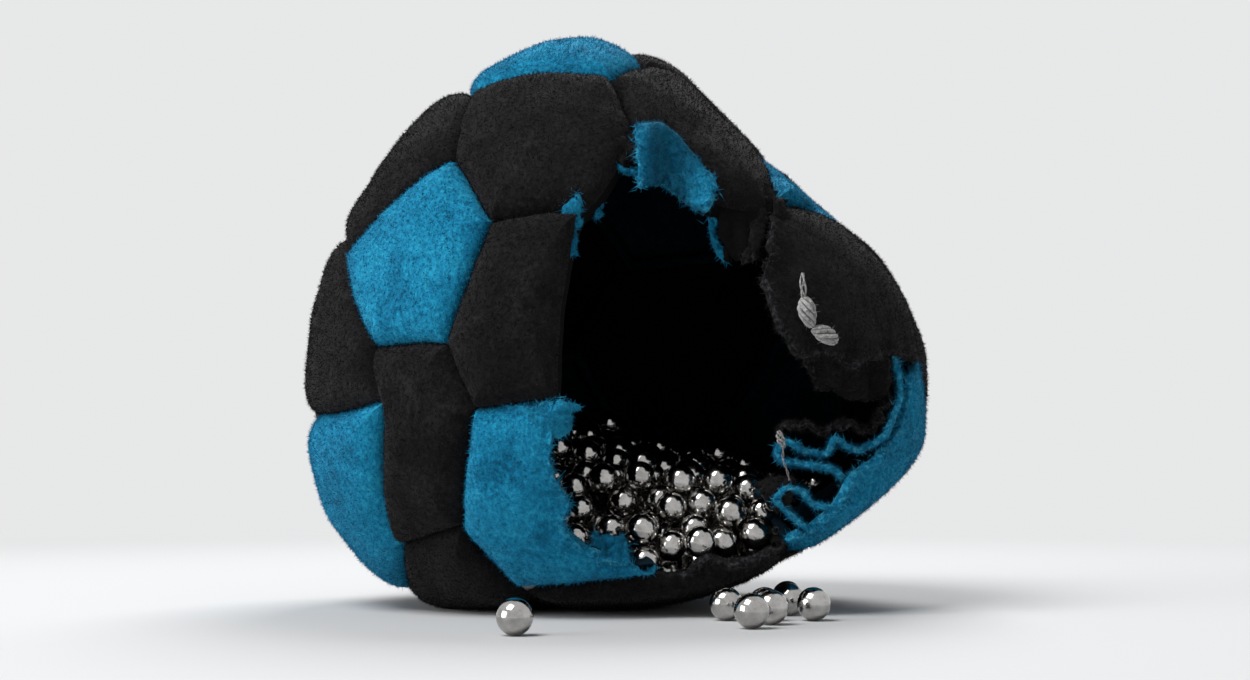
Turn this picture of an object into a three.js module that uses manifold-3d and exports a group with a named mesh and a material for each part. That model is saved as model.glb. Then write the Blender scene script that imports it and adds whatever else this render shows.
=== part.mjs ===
// A slumped, torn-open footbag of thirty suede panels round a heap of steel shot.
// Millimetres, +Z up, the mouth faces -Y, origin on the floor under the bag's middle.
import * as THREE from 'three';
import { mergeVertices } from 'three/addons/utils/BufferGeometryUtils.js';
import Module from 'manifold-3d';

const wasm = await Module();
wasm.setup();

// Bag sizes
const halfWidth = 26;
const halfDepth = 25;
const halfHeight = 25.5;
const centreHeight = 23;
const baseRounding = 1.2;
const undersideRise = 13;
const frontRise = 4.5;

// Leather, seams and clearances
const skin = 1.0;
const seamDip = 1.3;
const seamAllowance = 2.5;
const seamGap = 0.36;
const tornDip = 0.25;
const clearance = 0.3;
const heapClearance = 0.45;
const threadClearance = 0.45;
const threadRadius = 0.3;
const weld = 0.001;

// Shot sizes
const pelletDiameter = 2.5;
const heapHeight = 14.0;
const heapCrest = 4.0;
const heapFrontHeight = 9.5;
const heapFrontReach = 13;
const heapSink = 0.5;

// Tongue sizes: what is left of the front panel, hanging from its top seam
const tongueLength = 8.0;
const tongueDrop = 3.9;
const tongueRootDepth = 1.2;
const tongueEdge = 0.3;
const tongueCurl = 0.5;
const stripThickness = 0.6;

// Torn fold and strip at the lower right
const foldThickness = 0.8;
const foldDepth = 5.0;

// Loose end of the seam thread
const stitchRadius = 0.65;

// Shares and counts
const frontRiseStartShare = 0.24;
const heapSlopeBackShare = 0.2;
const heapSlopeSideShare = -0.17;
const heapSlopeFrontShare = 0.8;
const pelletPitchShare = 1.3;
const pelletScatterShare = 0.1;
const singleRoomShare = 1.5;
const crownInnerShare = 0.65;
const crownOuterShare = 0.92;
const crownDropShare = 0.45;
const allowanceRootShare = 1.6;
const panelCornerShare = 0.335;
const seamStepCount = 2;
const singlePelletCount = 10;
const stitchLengthShare = 1.6;
const threadRoomShare = 2.6;
const mostSqueezeShare = 3;

// Swellings and dents of the slumped bag, as directions from its middle in degrees
const bulges = [
  { azimuthDegrees: -20, elevationDegrees: 45, spreadDegrees: 26, share: -0.26 },
  { azimuthDegrees: -115, elevationDegrees: 70, spreadDegrees: 30, share: 0.06 },
  { azimuthDegrees: -160, elevationDegrees: -35, spreadDegrees: 30, share: 0.11 },
  { azimuthDegrees: -20, elevationDegrees: -28, spreadDegrees: 30, share: 0.10 },
  { azimuthDegrees: -115, elevationDegrees: -40, spreadDegrees: 35, share: 0.10 },
  { azimuthDegrees: -68, elevationDegrees: -45, spreadDegrees: 30, share: 0.09 },
  { azimuthDegrees: -35, elevationDegrees: 10, spreadDegrees: 22, share: 0.015 },
  { azimuthDegrees: -28, elevationDegrees: -46, spreadDegrees: 22, share: 0.08 },
];

// Middles of the twelve blue panels, azimuth and elevation in degrees; the front one is gone
const blueMiddleDegrees = {
  front: [-80, 15],
  upper_right: [-7, 42],
  top: [-150, 76],
  left: [-124, 12],
  lower_left: [-105, -33],
  lower_right: [-33, -30],
  back_top: [70, 42],
  back_left: [162, 22],
  side_low: [-160, -31],
  base: [80, -84],
  back_right: [36, -13],
  back: [112, -15],
};

// Blue panels that each one faces across a black panel's edge
const neighbours = {
  front: ['upper_right', 'top', 'left', 'lower_left', 'lower_right'],
  upper_right: ['front', 'top', 'back_top', 'back_right', 'lower_right'],
  top: ['front', 'left', 'back_left', 'back_top', 'upper_right'],
  left: ['front', 'lower_left', 'side_low', 'back_left', 'top'],
  lower_left: ['front', 'lower_right', 'base', 'side_low', 'left'],
  lower_right: ['front', 'upper_right', 'back_right', 'base', 'lower_left'],
  back_top: ['upper_right', 'top', 'back_left', 'back', 'back_right'],
  back_left: ['top', 'left', 'side_low', 'back', 'back_top'],
  side_low: ['left', 'lower_left', 'base', 'back', 'back_left'],
  base: ['lower_left', 'lower_right', 'back_right', 'back', 'side_low'],
  back_right: ['lower_right', 'upper_right', 'back_top', 'back', 'base'],
  back: ['back_top', 'back_left', 'side_low', 'base', 'back_right'],
};

// Black panels, each between three blue ones; the one below the front is gone too
const blackPanels = {
  front_top_right: ['front', 'upper_right', 'top'],
  front_top_left: ['front', 'top', 'left'],
  front_left: ['front', 'left', 'lower_left'],
  front_right: ['front', 'lower_right', 'upper_right'],
  top_right: ['upper_right', 'top', 'back_top'],
  top_left: ['top', 'left', 'back_left'],
  left: ['left', 'lower_left', 'side_low'],
  lip: ['lower_left', 'lower_right', 'base'],
  right: ['lower_right', 'upper_right', 'back_right'],
  right_high: ['upper_right', 'back_right', 'back_top'],
  crown_back: ['top', 'back_top', 'back_left'],
  side_left: ['left', 'back_left', 'side_low'],
  low_left: ['lower_left', 'side_low', 'base'],
  low_right: ['lower_right', 'base', 'back_right'],
  back_high: ['back', 'back_top', 'back_left'],
  back_left: ['back', 'back_left', 'side_low'],
  back_low_left: ['back', 'side_low', 'base'],
  back_low_right: ['back', 'base', 'back_right'],
  back_right: ['back', 'back_right', 'back_top'],
};

// Seam corners that the slump has pulled away from the even pattern, in degrees
const pulledCornerDegrees = {
  'left>top': [-127, 32],
  'left>front': [-113, 17],
  'left>lower_left': [-119, -5],
  'left>side_low': [-136, -5],
  'left>back_left': [-155, 14],
  'front>left': [-97, 18],
  'front>top': [-86, 38],
  'front>upper_right': [-60, 18],
  'front>lower_left': [-99, 1],
  'top>front': [-91, 53],
  'top>left': [-136, 50],
  'top>upper_right': [-78, 63],
  'lower_left>left': [-114, -16],
  'lower_left>front': [-100, -15],
  'lower_left>lower_right': [-82, -42.5],
  'lower_left>side_low': [-119, -35],
  'lower_left>base': [-112, -47],
  'side_low>left': [-133, -14],
  'side_low>lower_left': [-137, -38],
  'upper_right>top': [9, 57],
  'upper_right>front': [-57.5, 22.3],
  'upper_right>lower_right': [-11, 26],
  'lower_right>upper_right': [-21, -5],
  'lower_right>lower_left': [-56, -38],
  'lower_right>base': [-36, -54],
};

// Panels with a torn edge: a middle that sees the whole outline, and the outline in order, as seam
// corners and torn points in degrees
const tornOutlineDegrees = {
  black_front_right: {
    middle: [-42, 9],
    points: ['front>upper_right', [-63, 6], [-60, -6], [-47, -7], 'lower_right>upper_right',
      'upper_right>lower_right', 'upper_right>front'],
  },
  black_lip: {
    middle: [-70, -53],
    points: ['lower_left>lower_right', 'lower_left>base', 'base>lower_left', 'base>lower_right',
      'lower_right>base', 'lower_right>lower_left', [-66, -40], [-73, -41]],
  },
  blue_lower_left: {
    middle: [-107, -34],
    points: ['lower_left>left', 'lower_left>side_low', 'lower_left>base', 'lower_left>lower_right',
      [-95, -36], [-99, -28], [-100.5, -21], 'lower_left>front'],
  },
  blue_lower_right: {
    middle: [-24, -36],
    points: ['lower_right>upper_right', [-30, -8], [-33, -16], [-42, -24], [-48, -31],
      'lower_right>lower_left', 'lower_right>base', 'lower_right>back_right'],
  },
};

// Places of the shot on the floor: a spot as shares of the bag's half width and half depth, and
// each pellet's place from its spot as shares of the pellet diameter
const spillSpotShares = [0.43, -0.895];
const strayedSpotShares = [-0.25, -1.40];
const loosePelletShares = [
  { name: 'loose_pellet_left', spot: strayedSpotShares, place: [0, 0] },
  { name: 'loose_pellet_lip', spot: spillSpotShares, place: [-1.14, 0.15] },
  { name: 'loose_pellet_front', spot: spillSpotShares, place: [-0.62, -2.85] },
  { name: 'loose_pellet_middle', spot: spillSpotShares, place: [0.05, -1.45] },
  { name: 'loose_pellet_inner', spot: spillSpotShares, place: [0, 0] },
  { name: 'loose_pellet_right', spot: spillSpotShares, place: [1.46, 0.05] },
  { name: 'loose_pellet_behind', spot: spillSpotShares, place: [0.94, 2.15] },
  { name: 'loose_pellet_hidden', spot: spillSpotShares, place: [1.04, 3.55] },
];

// Front edge of the torn blue fold, from top to bottom, as shares of half width and middle height
const blueFoldShares = [
  [0.87, 0.86], [0.86, 0.76], [0.82, 0.67], [0.75, 0.62], [0.66, 0.63], [0.58, 0.63],
  [0.53, 0.60], [0.51, 0.56], [0.54, 0.52], [0.61, 0.51], [0.68, 0.47], [0.71, 0.41],
  [0.67, 0.36], [0.61, 0.39], [0.56, 0.43], [0.51, 0.41], [0.50, 0.36], [0.55, 0.31], [0.62, 0.28],
];
const blackStripShares = [
  [0.76, 0.80], [0.71, 0.73], [0.65, 0.715], [0.58, 0.705], [0.50, 0.69], [0.45, 0.63], [0.445, 0.55],
];
const foldFrontShares = { nearRight: 0.60, nearLeft: 0.76, from: 0.90, to: 0.50 };
const foldSplayShare = 0.15;
const foldTopShare = 0.35;
const foldStepCount = 22;
const stripStepCount = 10;

// Lower edge of the tongue: share along its root, and share of its drop
const tongueEdgeShares = [[0, 0.25], [0.16, 0.5], [0.4, 1], [0.54, 0.92], [0.78, 0.87], [1, 0.72]];
const tongueRootShares = { start: 0.04, end: 0.60 };
const tongueRowCount = 3;

// Stitches on the right front panel, in degrees, with the size of each as a share
const stitches = [
  { azimuthDegrees: -56.5, elevationDegrees: 5, sizeShare: 0.55, leanDegrees: 5 },
  { azimuthDegrees: -55.5, elevationDegrees: 0.5, sizeShare: 1, leanDegrees: 5 },
  { azimuthDegrees: -51.5, elevationDegrees: -3.5, sizeShare: 0.85, leanDegrees: 75 },
];

const colours = { blue: 0x20799f, black: 0x1b1b1c, steel: 0xb8b4ae, thread: 0x82807f };

function material(colour, roughness, metalness) {
  return new THREE.MeshStandardMaterial({ color: colour, roughness, metalness });
}

// A unit vector from an azimuth (0 is +X, -90 the front) and an elevation in degrees
function direction(azimuth, elevation) {
  const turn = THREE.MathUtils.degToRad(azimuth);
  const tilt = THREE.MathUtils.degToRad(elevation);
  const level = Math.cos(tilt);
  return new THREE.Vector3(level * Math.cos(turn), level * Math.sin(turn), Math.sin(tilt));
}

const swellings = bulges.map((bulge) => ({
  towards: direction(bulge.azimuthDegrees, bulge.elevationDegrees),
  spread: THREE.MathUtils.degToRad(bulge.spreadDegrees),
  share: bulge.share,
}));

// The bag's surface before it slumps on the floor, from its middle
function freeSurface(towards) {
  let swell = 1;
  for (const bulge of swellings) {
    const angle = towards.angleTo(bulge.towards);
    swell += bulge.share * Math.exp(-((angle / bulge.spread) ** 2));
  }
  return new THREE.Vector3(towards.x * halfWidth, towards.y * halfDepth, towards.z * halfHeight)
    .multiplyScalar(swell);
}

// Height of the underside: it lifts off the floor to the right and at the front
function underside(x, y) {
  const forwardShare = Math.max(-y / halfDepth - frontRiseStartShare, 0);
  return undersideRise * (Math.max(x, 0) / halfWidth) ** 2 + frontRise * forwardShare ** 2;
}

// The point of the slumped bag at a depth below its surface, towards a direction
function bagPoint(towards, depth) {
  const point = freeSurface(towards);
  point.setLength(point.length() - depth);
  point.z += centreHeight;
  const lowest = depth + underside(point.x, point.y);
  const height = point.z - lowest;
  if (height < -baseRounding) {
    point.z = lowest;
  } else if (height < baseRounding) {
    point.z = lowest + (height + baseRounding) ** 2 / (4 * baseRounding);
  }
  return point;
}

// A direction moved aside so that the seam allowances there end up a distance apart
function turned(towards, aside, distance) {
  const depth = seamDip + seamAllowance;
  const moved = (angle) => towards.clone().addScaledVector(aside, angle).normalize();
  const angle = distance / freeSurface(towards).length();
  const actual = bagPoint(moved(angle), depth).distanceTo(bagPoint(towards, depth));
  const squeeze = (Math.abs(distance) * aside.length()) / actual;
  return moved(angle * THREE.MathUtils.clamp(squeeze, 1, mostSqueezeShare));
}

function between(a, b, share) {
  return a.clone().lerp(b, share).normalize();
}

// Seam corners: where two black panels and the blue panel `from` meet, nearest to `towards`
function seamCorner(key) {
  if (pulledCornerDegrees[key]) return direction(...pulledCornerDegrees[key]);
  const [from, towards] = key.split('>');
  const [start, end] = [from, towards].map((name) => direction(...blueMiddleDegrees[name]));
  return between(start, end, panelCornerShare);
}

function mean(directions) {
  return directions.reduce((sum, each) => sum.add(each), new THREE.Vector3()).normalize();
}

// Corners in order round a panel, anticlockwise from outside, with every edge divided. A panel
// with a torn edge brings its corners in order, with its middle.
function outline(corners, tornDegrees) {
  const points = (tornDegrees?.points ?? corners).map((corner) => (typeof corner === 'string'
    ? { at: seamCorner(corner), corner: true, torn: false }
    : { at: direction(...corner), corner: true, torn: true }));
  const middle = tornDegrees ? direction(...tornDegrees.middle) : mean(points.map((point) => point.at));
  if (!tornDegrees) {
    const across = new THREE.Vector3().crossVectors(middle, points[0].at).normalize();
    const along = new THREE.Vector3().crossVectors(across, middle);
    const angle = (point) => Math.atan2(point.at.dot(across), point.at.dot(along));
    points.sort((a, b) => angle(a) - angle(b));
  }
  const divided = [];
  points.forEach((point, index) => {
    const next = points[(index + 1) % points.length];
    const torn = point.torn || next.torn;
    const steps = torn ? 1 : seamStepCount;
    divided.push(point);
    for (let step = 1; step < steps; step += 1) {
      divided.push({ at: between(point.at, next.at, step / steps), torn });
    }
  });
  return { middle, points: divided };
}

// The outline drawn in by a distance, square to both edges at each point
function drawnIn(points, distance) {
  return points.map((point, index) => {
    const before = points[(index + points.length - 1) % points.length].at;
    const after = points[(index + 1) % points.length].at;
    const first = new THREE.Vector3().crossVectors(before, point.at).normalize();
    const second = new THREE.Vector3().crossVectors(point.at, after).normalize();
    const aside = first.clone().add(second).divideScalar(1 + Math.max(first.dot(second), 0));
    return turned(point.at, aside, distance);
  });
}

// Closed solid through loops of equal length, from a first point to a last one
function lofted(first, loops, last) {
  const count = loops[0].length;
  const positions = [first, ...loops.flat(), last];
  const index = [];
  const at = (loop, step) => 1 + loop * count + (step % count);
  for (let step = 0; step < count; step += 1) {
    index.push(0, at(0, step), at(0, step + 1));
    for (let loop = 1; loop < loops.length; loop += 1) {
      index.push(at(loop - 1, step), at(loop, step), at(loop, step + 1));
      index.push(at(loop - 1, step), at(loop, step + 1), at(loop - 1, step + 1));
    }
    index.push(at(loops.length - 1, step), positions.length - 1, at(loops.length - 1, step + 1));
  }
  return indexed(positions, index);
}

function indexed(positions, index) {
  const geometry = new THREE.BufferGeometry();
  const numbers = positions.flatMap((point) => point.toArray());
  geometry.setAttribute('position', new THREE.Float32BufferAttribute(numbers, 3));
  geometry.setIndex(index);
  return geometry;
}

// A crowned panel whose seam allowance turns inwards
function panelGeometry({ middle, points }) {
  const dips = points.map((point) => (point.torn ? tornDip : seamDip));
  const edges = points.map((point) => (point.torn ? tornDip + skin : seamDip + seamAllowance));
  const rim = drawnIn(points, seamGap / 2);
  const inner = drawnIn(points, seamGap / 2 + skin);
  const root = drawnIn(points, seamGap / 2 + skin * allowanceRootShare);
  const loop = (directions, share, depth) => directions.map((towards, index) => (
    bagPoint(between(middle, towards, share), depth(index))));
  return lofted(bagPoint(middle, 0), [
    loop(rim, crownInnerShare, () => 0),
    loop(rim, crownOuterShare, (index) => dips[index] * crownDropShare),
    loop(rim, 1, (index) => dips[index]),
    loop(rim, 1, (index) => edges[index]),
    loop(inner, 1, (index) => edges[index]),
    loop(root, 1, (index) => dips[index] + skin),
    loop(root, crownInnerShare, () => skin),
  ], bagPoint(middle, skin));
}

// A sheet of leather through a grid of points on its middle surface, with its thickness
function sheetGeometry(grid, thickness) {
  const rows = grid.length;
  const columns = grid[0].length;
  const faces = [1, -1].map((side) => grid.map((row, i) => row.map((point, j) => {
    const across = row[Math.min(j + 1, columns - 1)].clone().sub(row[Math.max(j - 1, 0)]);
    const down = grid[Math.min(i + 1, rows - 1)][j].clone().sub(grid[Math.max(i - 1, 0)][j]);
    const normal = across.cross(down).normalize();
    return point.clone().addScaledVector(normal, side * thickness / 2);
  })));
  const at = (face, i, j) => (face * rows + i) * columns + j;
  const index = [];
  const quad = (a, b, c, d) => index.push(a, b, c, a, c, d);
  for (let i = 0; i + 1 < rows; i += 1) {
    for (let j = 0; j + 1 < columns; j += 1) {
      quad(at(0, i, j), at(0, i, j + 1), at(0, i + 1, j + 1), at(0, i + 1, j));
      quad(at(1, i, j), at(1, i + 1, j), at(1, i + 1, j + 1), at(1, i, j + 1));
    }
    quad(at(0, i, 0), at(0, i + 1, 0), at(1, i + 1, 0), at(1, i, 0));
    const end = columns - 1;
    quad(at(0, i, end), at(1, i, end), at(1, i + 1, end), at(0, i + 1, end));
  }
  for (let j = 0; j + 1 < columns; j += 1) {
    const end = rows - 1;
    quad(at(0, 0, j), at(1, 0, j), at(1, 0, j + 1), at(0, 0, j + 1));
    quad(at(0, end, j), at(0, end, j + 1), at(1, end, j + 1), at(1, end, j));
  }
  return indexed(faces.flat(2), index);
}

function solidOf(geometry) {
  const plain = geometry.clone();
  plain.deleteAttribute('normal');
  plain.deleteAttribute('uv');
  const merged = mergeVertices(plain, weld);
  return new wasm.Manifold(new wasm.Mesh({
    numProp: 3,
    vertProperties: new Float32Array(merged.attributes.position.array),
    triVerts: new Uint32Array(merged.index.array),
  }));
}

function geometryOf(solid) {
  const mesh = solid.getMesh();
  const geometry = new THREE.BufferGeometry();
  geometry.setAttribute('position', new THREE.Float32BufferAttribute(mesh.vertProperties, 3));
  geometry.setIndex(Array.from(mesh.triVerts));
  return geometry;
}

const group = new THREE.Group();

function addPiece(name, geometry, look) {
  geometry.computeVertexNormals();
  const mesh = new THREE.Mesh(geometry, look);
  mesh.name = name;
  group.add(mesh);
  return mesh;
}

// Panels
function panelOutlines() {
  const outlines = {};
  for (const [name, around] of Object.entries(neighbours)) {
    if (name === 'front') continue;
    const key = `blue_${name}`;
    outlines[key] = outline(around.map((other) => `${name}>${other}`), tornOutlineDegrees[key]);
  }
  for (const [name, [a, b, c]] of Object.entries(blackPanels)) {
    const key = `black_${name}`;
    const corners = [[a, b], [b, a], [b, c], [c, b], [c, a], [a, c]];
    outlines[key] = outline(corners.map(([from, to]) => `${from}>${to}`), tornOutlineDegrees[key]);
  }
  return outlines;
}

// A fold of torn leather, with room round it: its front edge follows shares, and it runs back
// into the bag
function foldGeometry(shares, steps, room = 0) {
  const front = foldFrontShares;
  const frontY = (share) => {
    const along = (share - front.to) / (front.from - front.to);
    return -halfDepth * THREE.MathUtils.lerp(front.nearLeft, front.nearRight, along);
  };
  const edge = new THREE.CatmullRomCurve3(shares.map(([x, z]) => (
    new THREE.Vector3(x * halfWidth, frontY(x), z * centreHeight))));
  const points = edge.getSpacedPoints(steps);
  const back = new THREE.Vector3(foldSplayShare, 1, 0).normalize();
  const depth = (index) => foldDepth * Math.min(foldTopShare + index / steps, 1) + room;
  const rows = [0, 0.5, 1].map((share) => points.map((point, index) => (
    point.clone().addScaledVector(back, share * depth(index)))));
  return sheetGeometry(rows, foldThickness + 2 * room);
}

// Tongue frame: origin at the start of its root, along the root, down the panel, outwards
function tongueFrame() {
  const start = seamCorner('front>top');
  const end = seamCorner('front>upper_right');
  const middle = direction(...blueMiddleDegrees.front);
  const place = (share) => {
    const towards = between(start, end, share);
    const aside = new THREE.Vector3().crossVectors(start, end).normalize();
    if (aside.dot(middle) < 0) aside.negate();
    return { towards, aside };
  };
  const first = place(tongueRootShares.start);
  const last = place(tongueRootShares.end);
  const rootOffset = seamGap / 2 + tongueEdge;
  const origin = bagPoint(turned(first.towards, first.aside, rootOffset), tongueRootDepth);
  const far = bagPoint(turned(last.towards, last.aside, rootOffset), tongueRootDepth);
  const along = far.clone().sub(origin).normalize();
  const outwards = mean([first.towards, last.towards]);
  outwards.addScaledVector(along, -outwards.dot(along)).normalize();
  const down = new THREE.Vector3().crossVectors(outwards, along).normalize();
  if (down.dot(first.aside) < 0) down.negate();
  return { origin, along, down, outwards, place };
}

function tongueGeometry(frame) {
  const rows = [];
  for (let row = 0; row <= tongueRowCount; row += 1) {
    const share = row / tongueRowCount;
    rows.push(tongueEdgeShares.map(([along, drop]) => frame.origin.clone()
      .addScaledVector(frame.along, along * tongueLength)
      .addScaledVector(frame.down, share * drop * tongueDrop)
      .addScaledVector(frame.outwards, tongueCurl * Math.sin(Math.PI * share))));
  }
  return sheetGeometry(rows, skin);
}

// The strip of seam allowance that still holds the tongue, beside its neighbour's allowance
function tongueStripGeometry(frame) {
  const top = tongueRootDepth + skin / 2 + clearance * 2 + tongueEdge;
  const bottom = seamDip + seamAllowance + clearance;
  const offset = clearance + (stripThickness - seamGap) / 2;
  const { start, end } = tongueRootShares;
  const steps = 5;
  const rows = [top, bottom].map((depth) => {
    const row = [];
    for (let step = 0; step <= steps; step += 1) {
      const { towards, aside } = frame.place(THREE.MathUtils.lerp(start, end, step / steps));
      row.push(bagPoint(turned(towards, aside, offset), depth));
    }
    return row;
  });
  return sheetGeometry(rows, stripThickness);
}

function strandGeometry(from, to, radius, sides) {
  const strand = new THREE.CylinderGeometry(radius, radius, from.distanceTo(to), sides, 1);
  strand.applyQuaternion(new THREE.Quaternion().setFromUnitVectors(
    new THREE.Vector3(0, 1, 0), to.clone().sub(from).normalize()));
  return strand.translate(...from.clone().lerp(to, 0.5).toArray());
}

// The seams that still join two panels, as directions with the ones each is joined to
function seamNetwork(outlines) {
  const knots = new Map();
  const seams = new Map();
  const keyOf = (at) => at.toArray().map((value) => value.toFixed(4)).join();
  for (const { points } of Object.values(outlines)) {
    points.forEach((point, index) => {
      const next = points[(index + 1) % points.length];
      if (point.torn || next.torn) return;
      const ends = [keyOf(point.at), keyOf(next.at)];
      knots.set(ends[0], { at: point.at, links: [] });
      knots.set(ends[1], { at: next.at, links: [] });
      const key = [...ends].sort().join('/');
      seams.set(key, { ends, count: (seams.get(key)?.count ?? 0) + 1 });
    });
  }
  for (const { ends, count } of seams.values()) {
    if (count < 2) continue;
    knots.get(ends[0]).links.push(ends[1]);
    knots.get(ends[1]).links.push(ends[0]);
  }
  return new Map([...knots].filter(([, knot]) => knot.links.length));
}

// Thread that joins the panels: one strand of diamond section along every seam. Strands
// share the top, bottom and side points of the knot where they meet.
function threadGeometry(outlines) {
  const depth = seamDip + seamAllowance + threadClearance + threadRadius;
  const knots = seamNetwork(outlines);
  const positions = [];
  const index = [];
  const addPoint = (point) => positions.push(point) - 1;
  for (const knot of knots.values()) {
    const centre = bagPoint(knot.at, depth);
    const across = new THREE.Vector3(0, 0, 1).cross(knot.at).normalize();
    const along = knot.at.clone().cross(across);
    const angles = new Map(knot.links.map((key) => {
      const away = bagPoint(knots.get(key).at, depth).sub(centre);
      return [key, Math.atan2(away.dot(along), away.dot(across))];
    }));
    const sideAt = (angle, reach) => addPoint(centre.clone()
      .addScaledVector(across, Math.cos(angle) * reach).addScaledVector(along, Math.sin(angle) * reach));
    knot.top = addPoint(centre.clone().addScaledVector(knot.at, threadRadius));
    knot.bottom = addPoint(centre.clone().addScaledVector(knot.at, -threadRadius));
    knot.links.sort((a, b) => angles.get(a) - angles.get(b));
    knot.lefts = knot.links.map((key, place) => {
      const angle = angles.get(key);
      if (knot.links.length === 1) return sideAt(angle + Math.PI / 2, threadRadius);
      const next = angles.get(knot.links[(place + 1) % knot.links.length]);
      const gap = (next - angle + 2 * Math.PI) % (2 * Math.PI);
      return sideAt(angle + gap / 2, threadRadius / Math.sin(Math.min(gap, Math.PI) / 2));
    });
    if (knot.links.length === 1) {
      knot.right = sideAt(angles.get(knot.links[0]) - Math.PI / 2, threadRadius);
      index.push(knot.top, knot.lefts[0], knot.bottom, knot.top, knot.bottom, knot.right);
    }
  }
  const leftOf = (knot, key) => knot.lefts[knot.links.indexOf(key)];
  const rightOf = (knot, key) => {
    const place = knot.links.indexOf(key);
    return knot.right ?? knot.lefts[(place + knot.links.length - 1) % knot.links.length];
  };
  for (const [key, knot] of knots) {
    for (const otherKey of knot.links.filter((each) => key < each)) {
      const other = knots.get(otherKey);
      const near = [knot.top, leftOf(knot, otherKey), knot.bottom, rightOf(knot, otherKey)];
      const far = [other.top, rightOf(other, key), other.bottom, leftOf(other, key)];
      near.forEach((start, side) => {
        const next = (side + 1) % near.length;
        index.push(start, far[side], far[next], start, far[next], near[next]);
      });
    }
  }
  return indexed(positions, index);
}

function largest(solid) {
  return solid.decompose().sort((a, b) => b.volume() - a.volume())[0];
}

// The heap slopes down to the mouth, steeply at its front, and is level behind its crest
const heapPlanes = [
  (x) => heapHeight + heapSlopeBackShare * heapCrest + heapSlopeSideShare * x,
  (x, y) => heapHeight + heapSlopeBackShare * y + heapSlopeSideShare * x,
  (x, y) => heapFrontHeight + heapSlopeFrontShare * (y + heapFrontReach),
];

function heapSurface(x, y) {
  return Math.min(...heapPlanes.map((plane) => plane(x, y)));
}

// Everything below one of the heap's planes
function belowPlane(plane) {
  const block = new THREE.BoxGeometry(4 * halfWidth, 4 * halfDepth, 4 * halfHeight);
  const corners = block.attributes.position;
  for (let index = 0; index < corners.count; index += 1) {
    const [x, y, z] = [corners.getX(index), corners.getY(index), corners.getZ(index)];
    if (z > 0) corners.setZ(index, plane(x, y) - heapSink);
  }
  return solidOf(block);
}

// Small repeatable scatter between -1 and 1
let scatterState = 7;
function scatter() {
  scatterState = (scatterState * 16807) % 2147483647;
  return (2 * scatterState) / 2147483647 - 1;
}

function pelletGeometry(centre, radius, detail = 1) {
  const ball = new THREE.IcosahedronGeometry(radius, detail);
  ball.translate(...centre.toArray());
  return ball;
}

// Places of the shot on the slope of the heap that are clear of the leather
function heapPlaces(shell) {
  const pitch = pelletDiameter * pelletPitchShare;
  const reach = Math.ceil(halfWidth / pitch);
  const rise = Math.sin(Math.PI / 3);
  const keepOut = pelletDiameter / 2 + clearance;
  const places = [];
  for (let row = -reach; row <= reach; row += 1) {
    for (let column = -reach; column <= reach; column += 1) {
      const shift = (Math.abs(row) % 2) / 2;
      const x = (column + shift + pelletScatterShare * scatter()) * pitch;
      const y = (row * rise + pelletScatterShare * scatter()) * pitch;
      const z = heapSurface(x, y) + pelletScatterShare * scatter() * pelletDiameter;
      const centre = new THREE.Vector3(x, y, z);
      const fromMiddle = centre.clone().setZ(z - centreHeight);
      const towards = fromMiddle.clone()
        .divide(new THREE.Vector3(halfWidth, halfDepth, halfHeight)).normalize();
      const inside = freeSurface(towards).length() - fromMiddle.length();
      if (inside < skin + keepOut || z - underside(x, y) < skin + keepOut) continue;
      const ball = solidOf(pelletGeometry(centre, keepOut));
      if (shell.intersect(ball).volume() > 0) continue;
      places.push({ centre, row, column });
    }
  }
  return places;
}

// The room inside one panel, from its skin in to the core of the heap
function pocketGeometry({ middle, points }, deep) {
  const dips = points.map((point) => (point.torn ? tornDip : seamDip));
  const outer = drawnIn(points, seamGap / 2 + skin * allowanceRootShare + heapClearance);
  const inner = drawnIn(points, seamGap / 2 + skin + heapClearance);
  const loop = (directions, share, depth) => directions.map((towards, index) => (
    bagPoint(between(middle, towards, share), depth(index))));
  return lofted(bagPoint(middle, skin + heapClearance), [
    loop(outer, crownInnerShare, () => skin + heapClearance),
    loop(outer, 1, (index) => dips[index] + skin + heapClearance),
    loop(inner, 1, () => deep),
    loop(inner, crownInnerShare, () => deep),
  ], bagPoint(middle, deep));
}

// The heap is a core inside the seam allowances, pockets of shot against the panels
// and the tops of the pellets on its slope, with a socket round every single pellet
function heapSolid(outlines, places, singles) {
  const deep = seamDip + seamAllowance + (threadRadius + clearance) * threadRoomShare;
  const shape = new THREE.SphereGeometry(1, 18, 12);
  const positions = shape.attributes.position;
  for (let index = 0; index < positions.count; index += 1) {
    const towards = new THREE.Vector3().fromBufferAttribute(positions, index).normalize();
    positions.setXYZ(index, ...bagPoint(towards, deep).toArray());
  }
  const pockets = Object.values(outlines).map((each) => solidOf(pocketGeometry(each, deep + skin)));
  const filled = wasm.Manifold.union([solidOf(shape), ...pockets]);
  const body = wasm.Manifold.intersection([filled, ...heapPlanes.map(belowPlane)]);
  const balls = places.filter((place) => !singles.includes(place)).map(({ centre }) => {
    const ball = new THREE.SphereGeometry(pelletDiameter / 2, 6, 4);
    ball.rotateX(Math.PI / 2);
    ball.translate(...centre.toArray());
    return solidOf(ball);
  });
  const sockets = singles.map(({ centre }) => (
    solidOf(pelletGeometry(centre, pelletDiameter / 2 + clearance))));
  const heap = wasm.Manifold.union([body, ...balls]);
  const foldRoom = solidOf(foldGeometry(blueFoldShares, foldStepCount, clearance));
  return largest(heap.subtract(wasm.Manifold.union([...sockets, foldRoom])));
}

const suedeBlue = () => material(colours.blue, 0.95, 0);
const suedeBlack = () => material(colours.black, 0.95, 0);
const steel = () => material(colours.steel, 0.2, 1);
const cotton = () => material(colours.thread, 0.85, 0);

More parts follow.
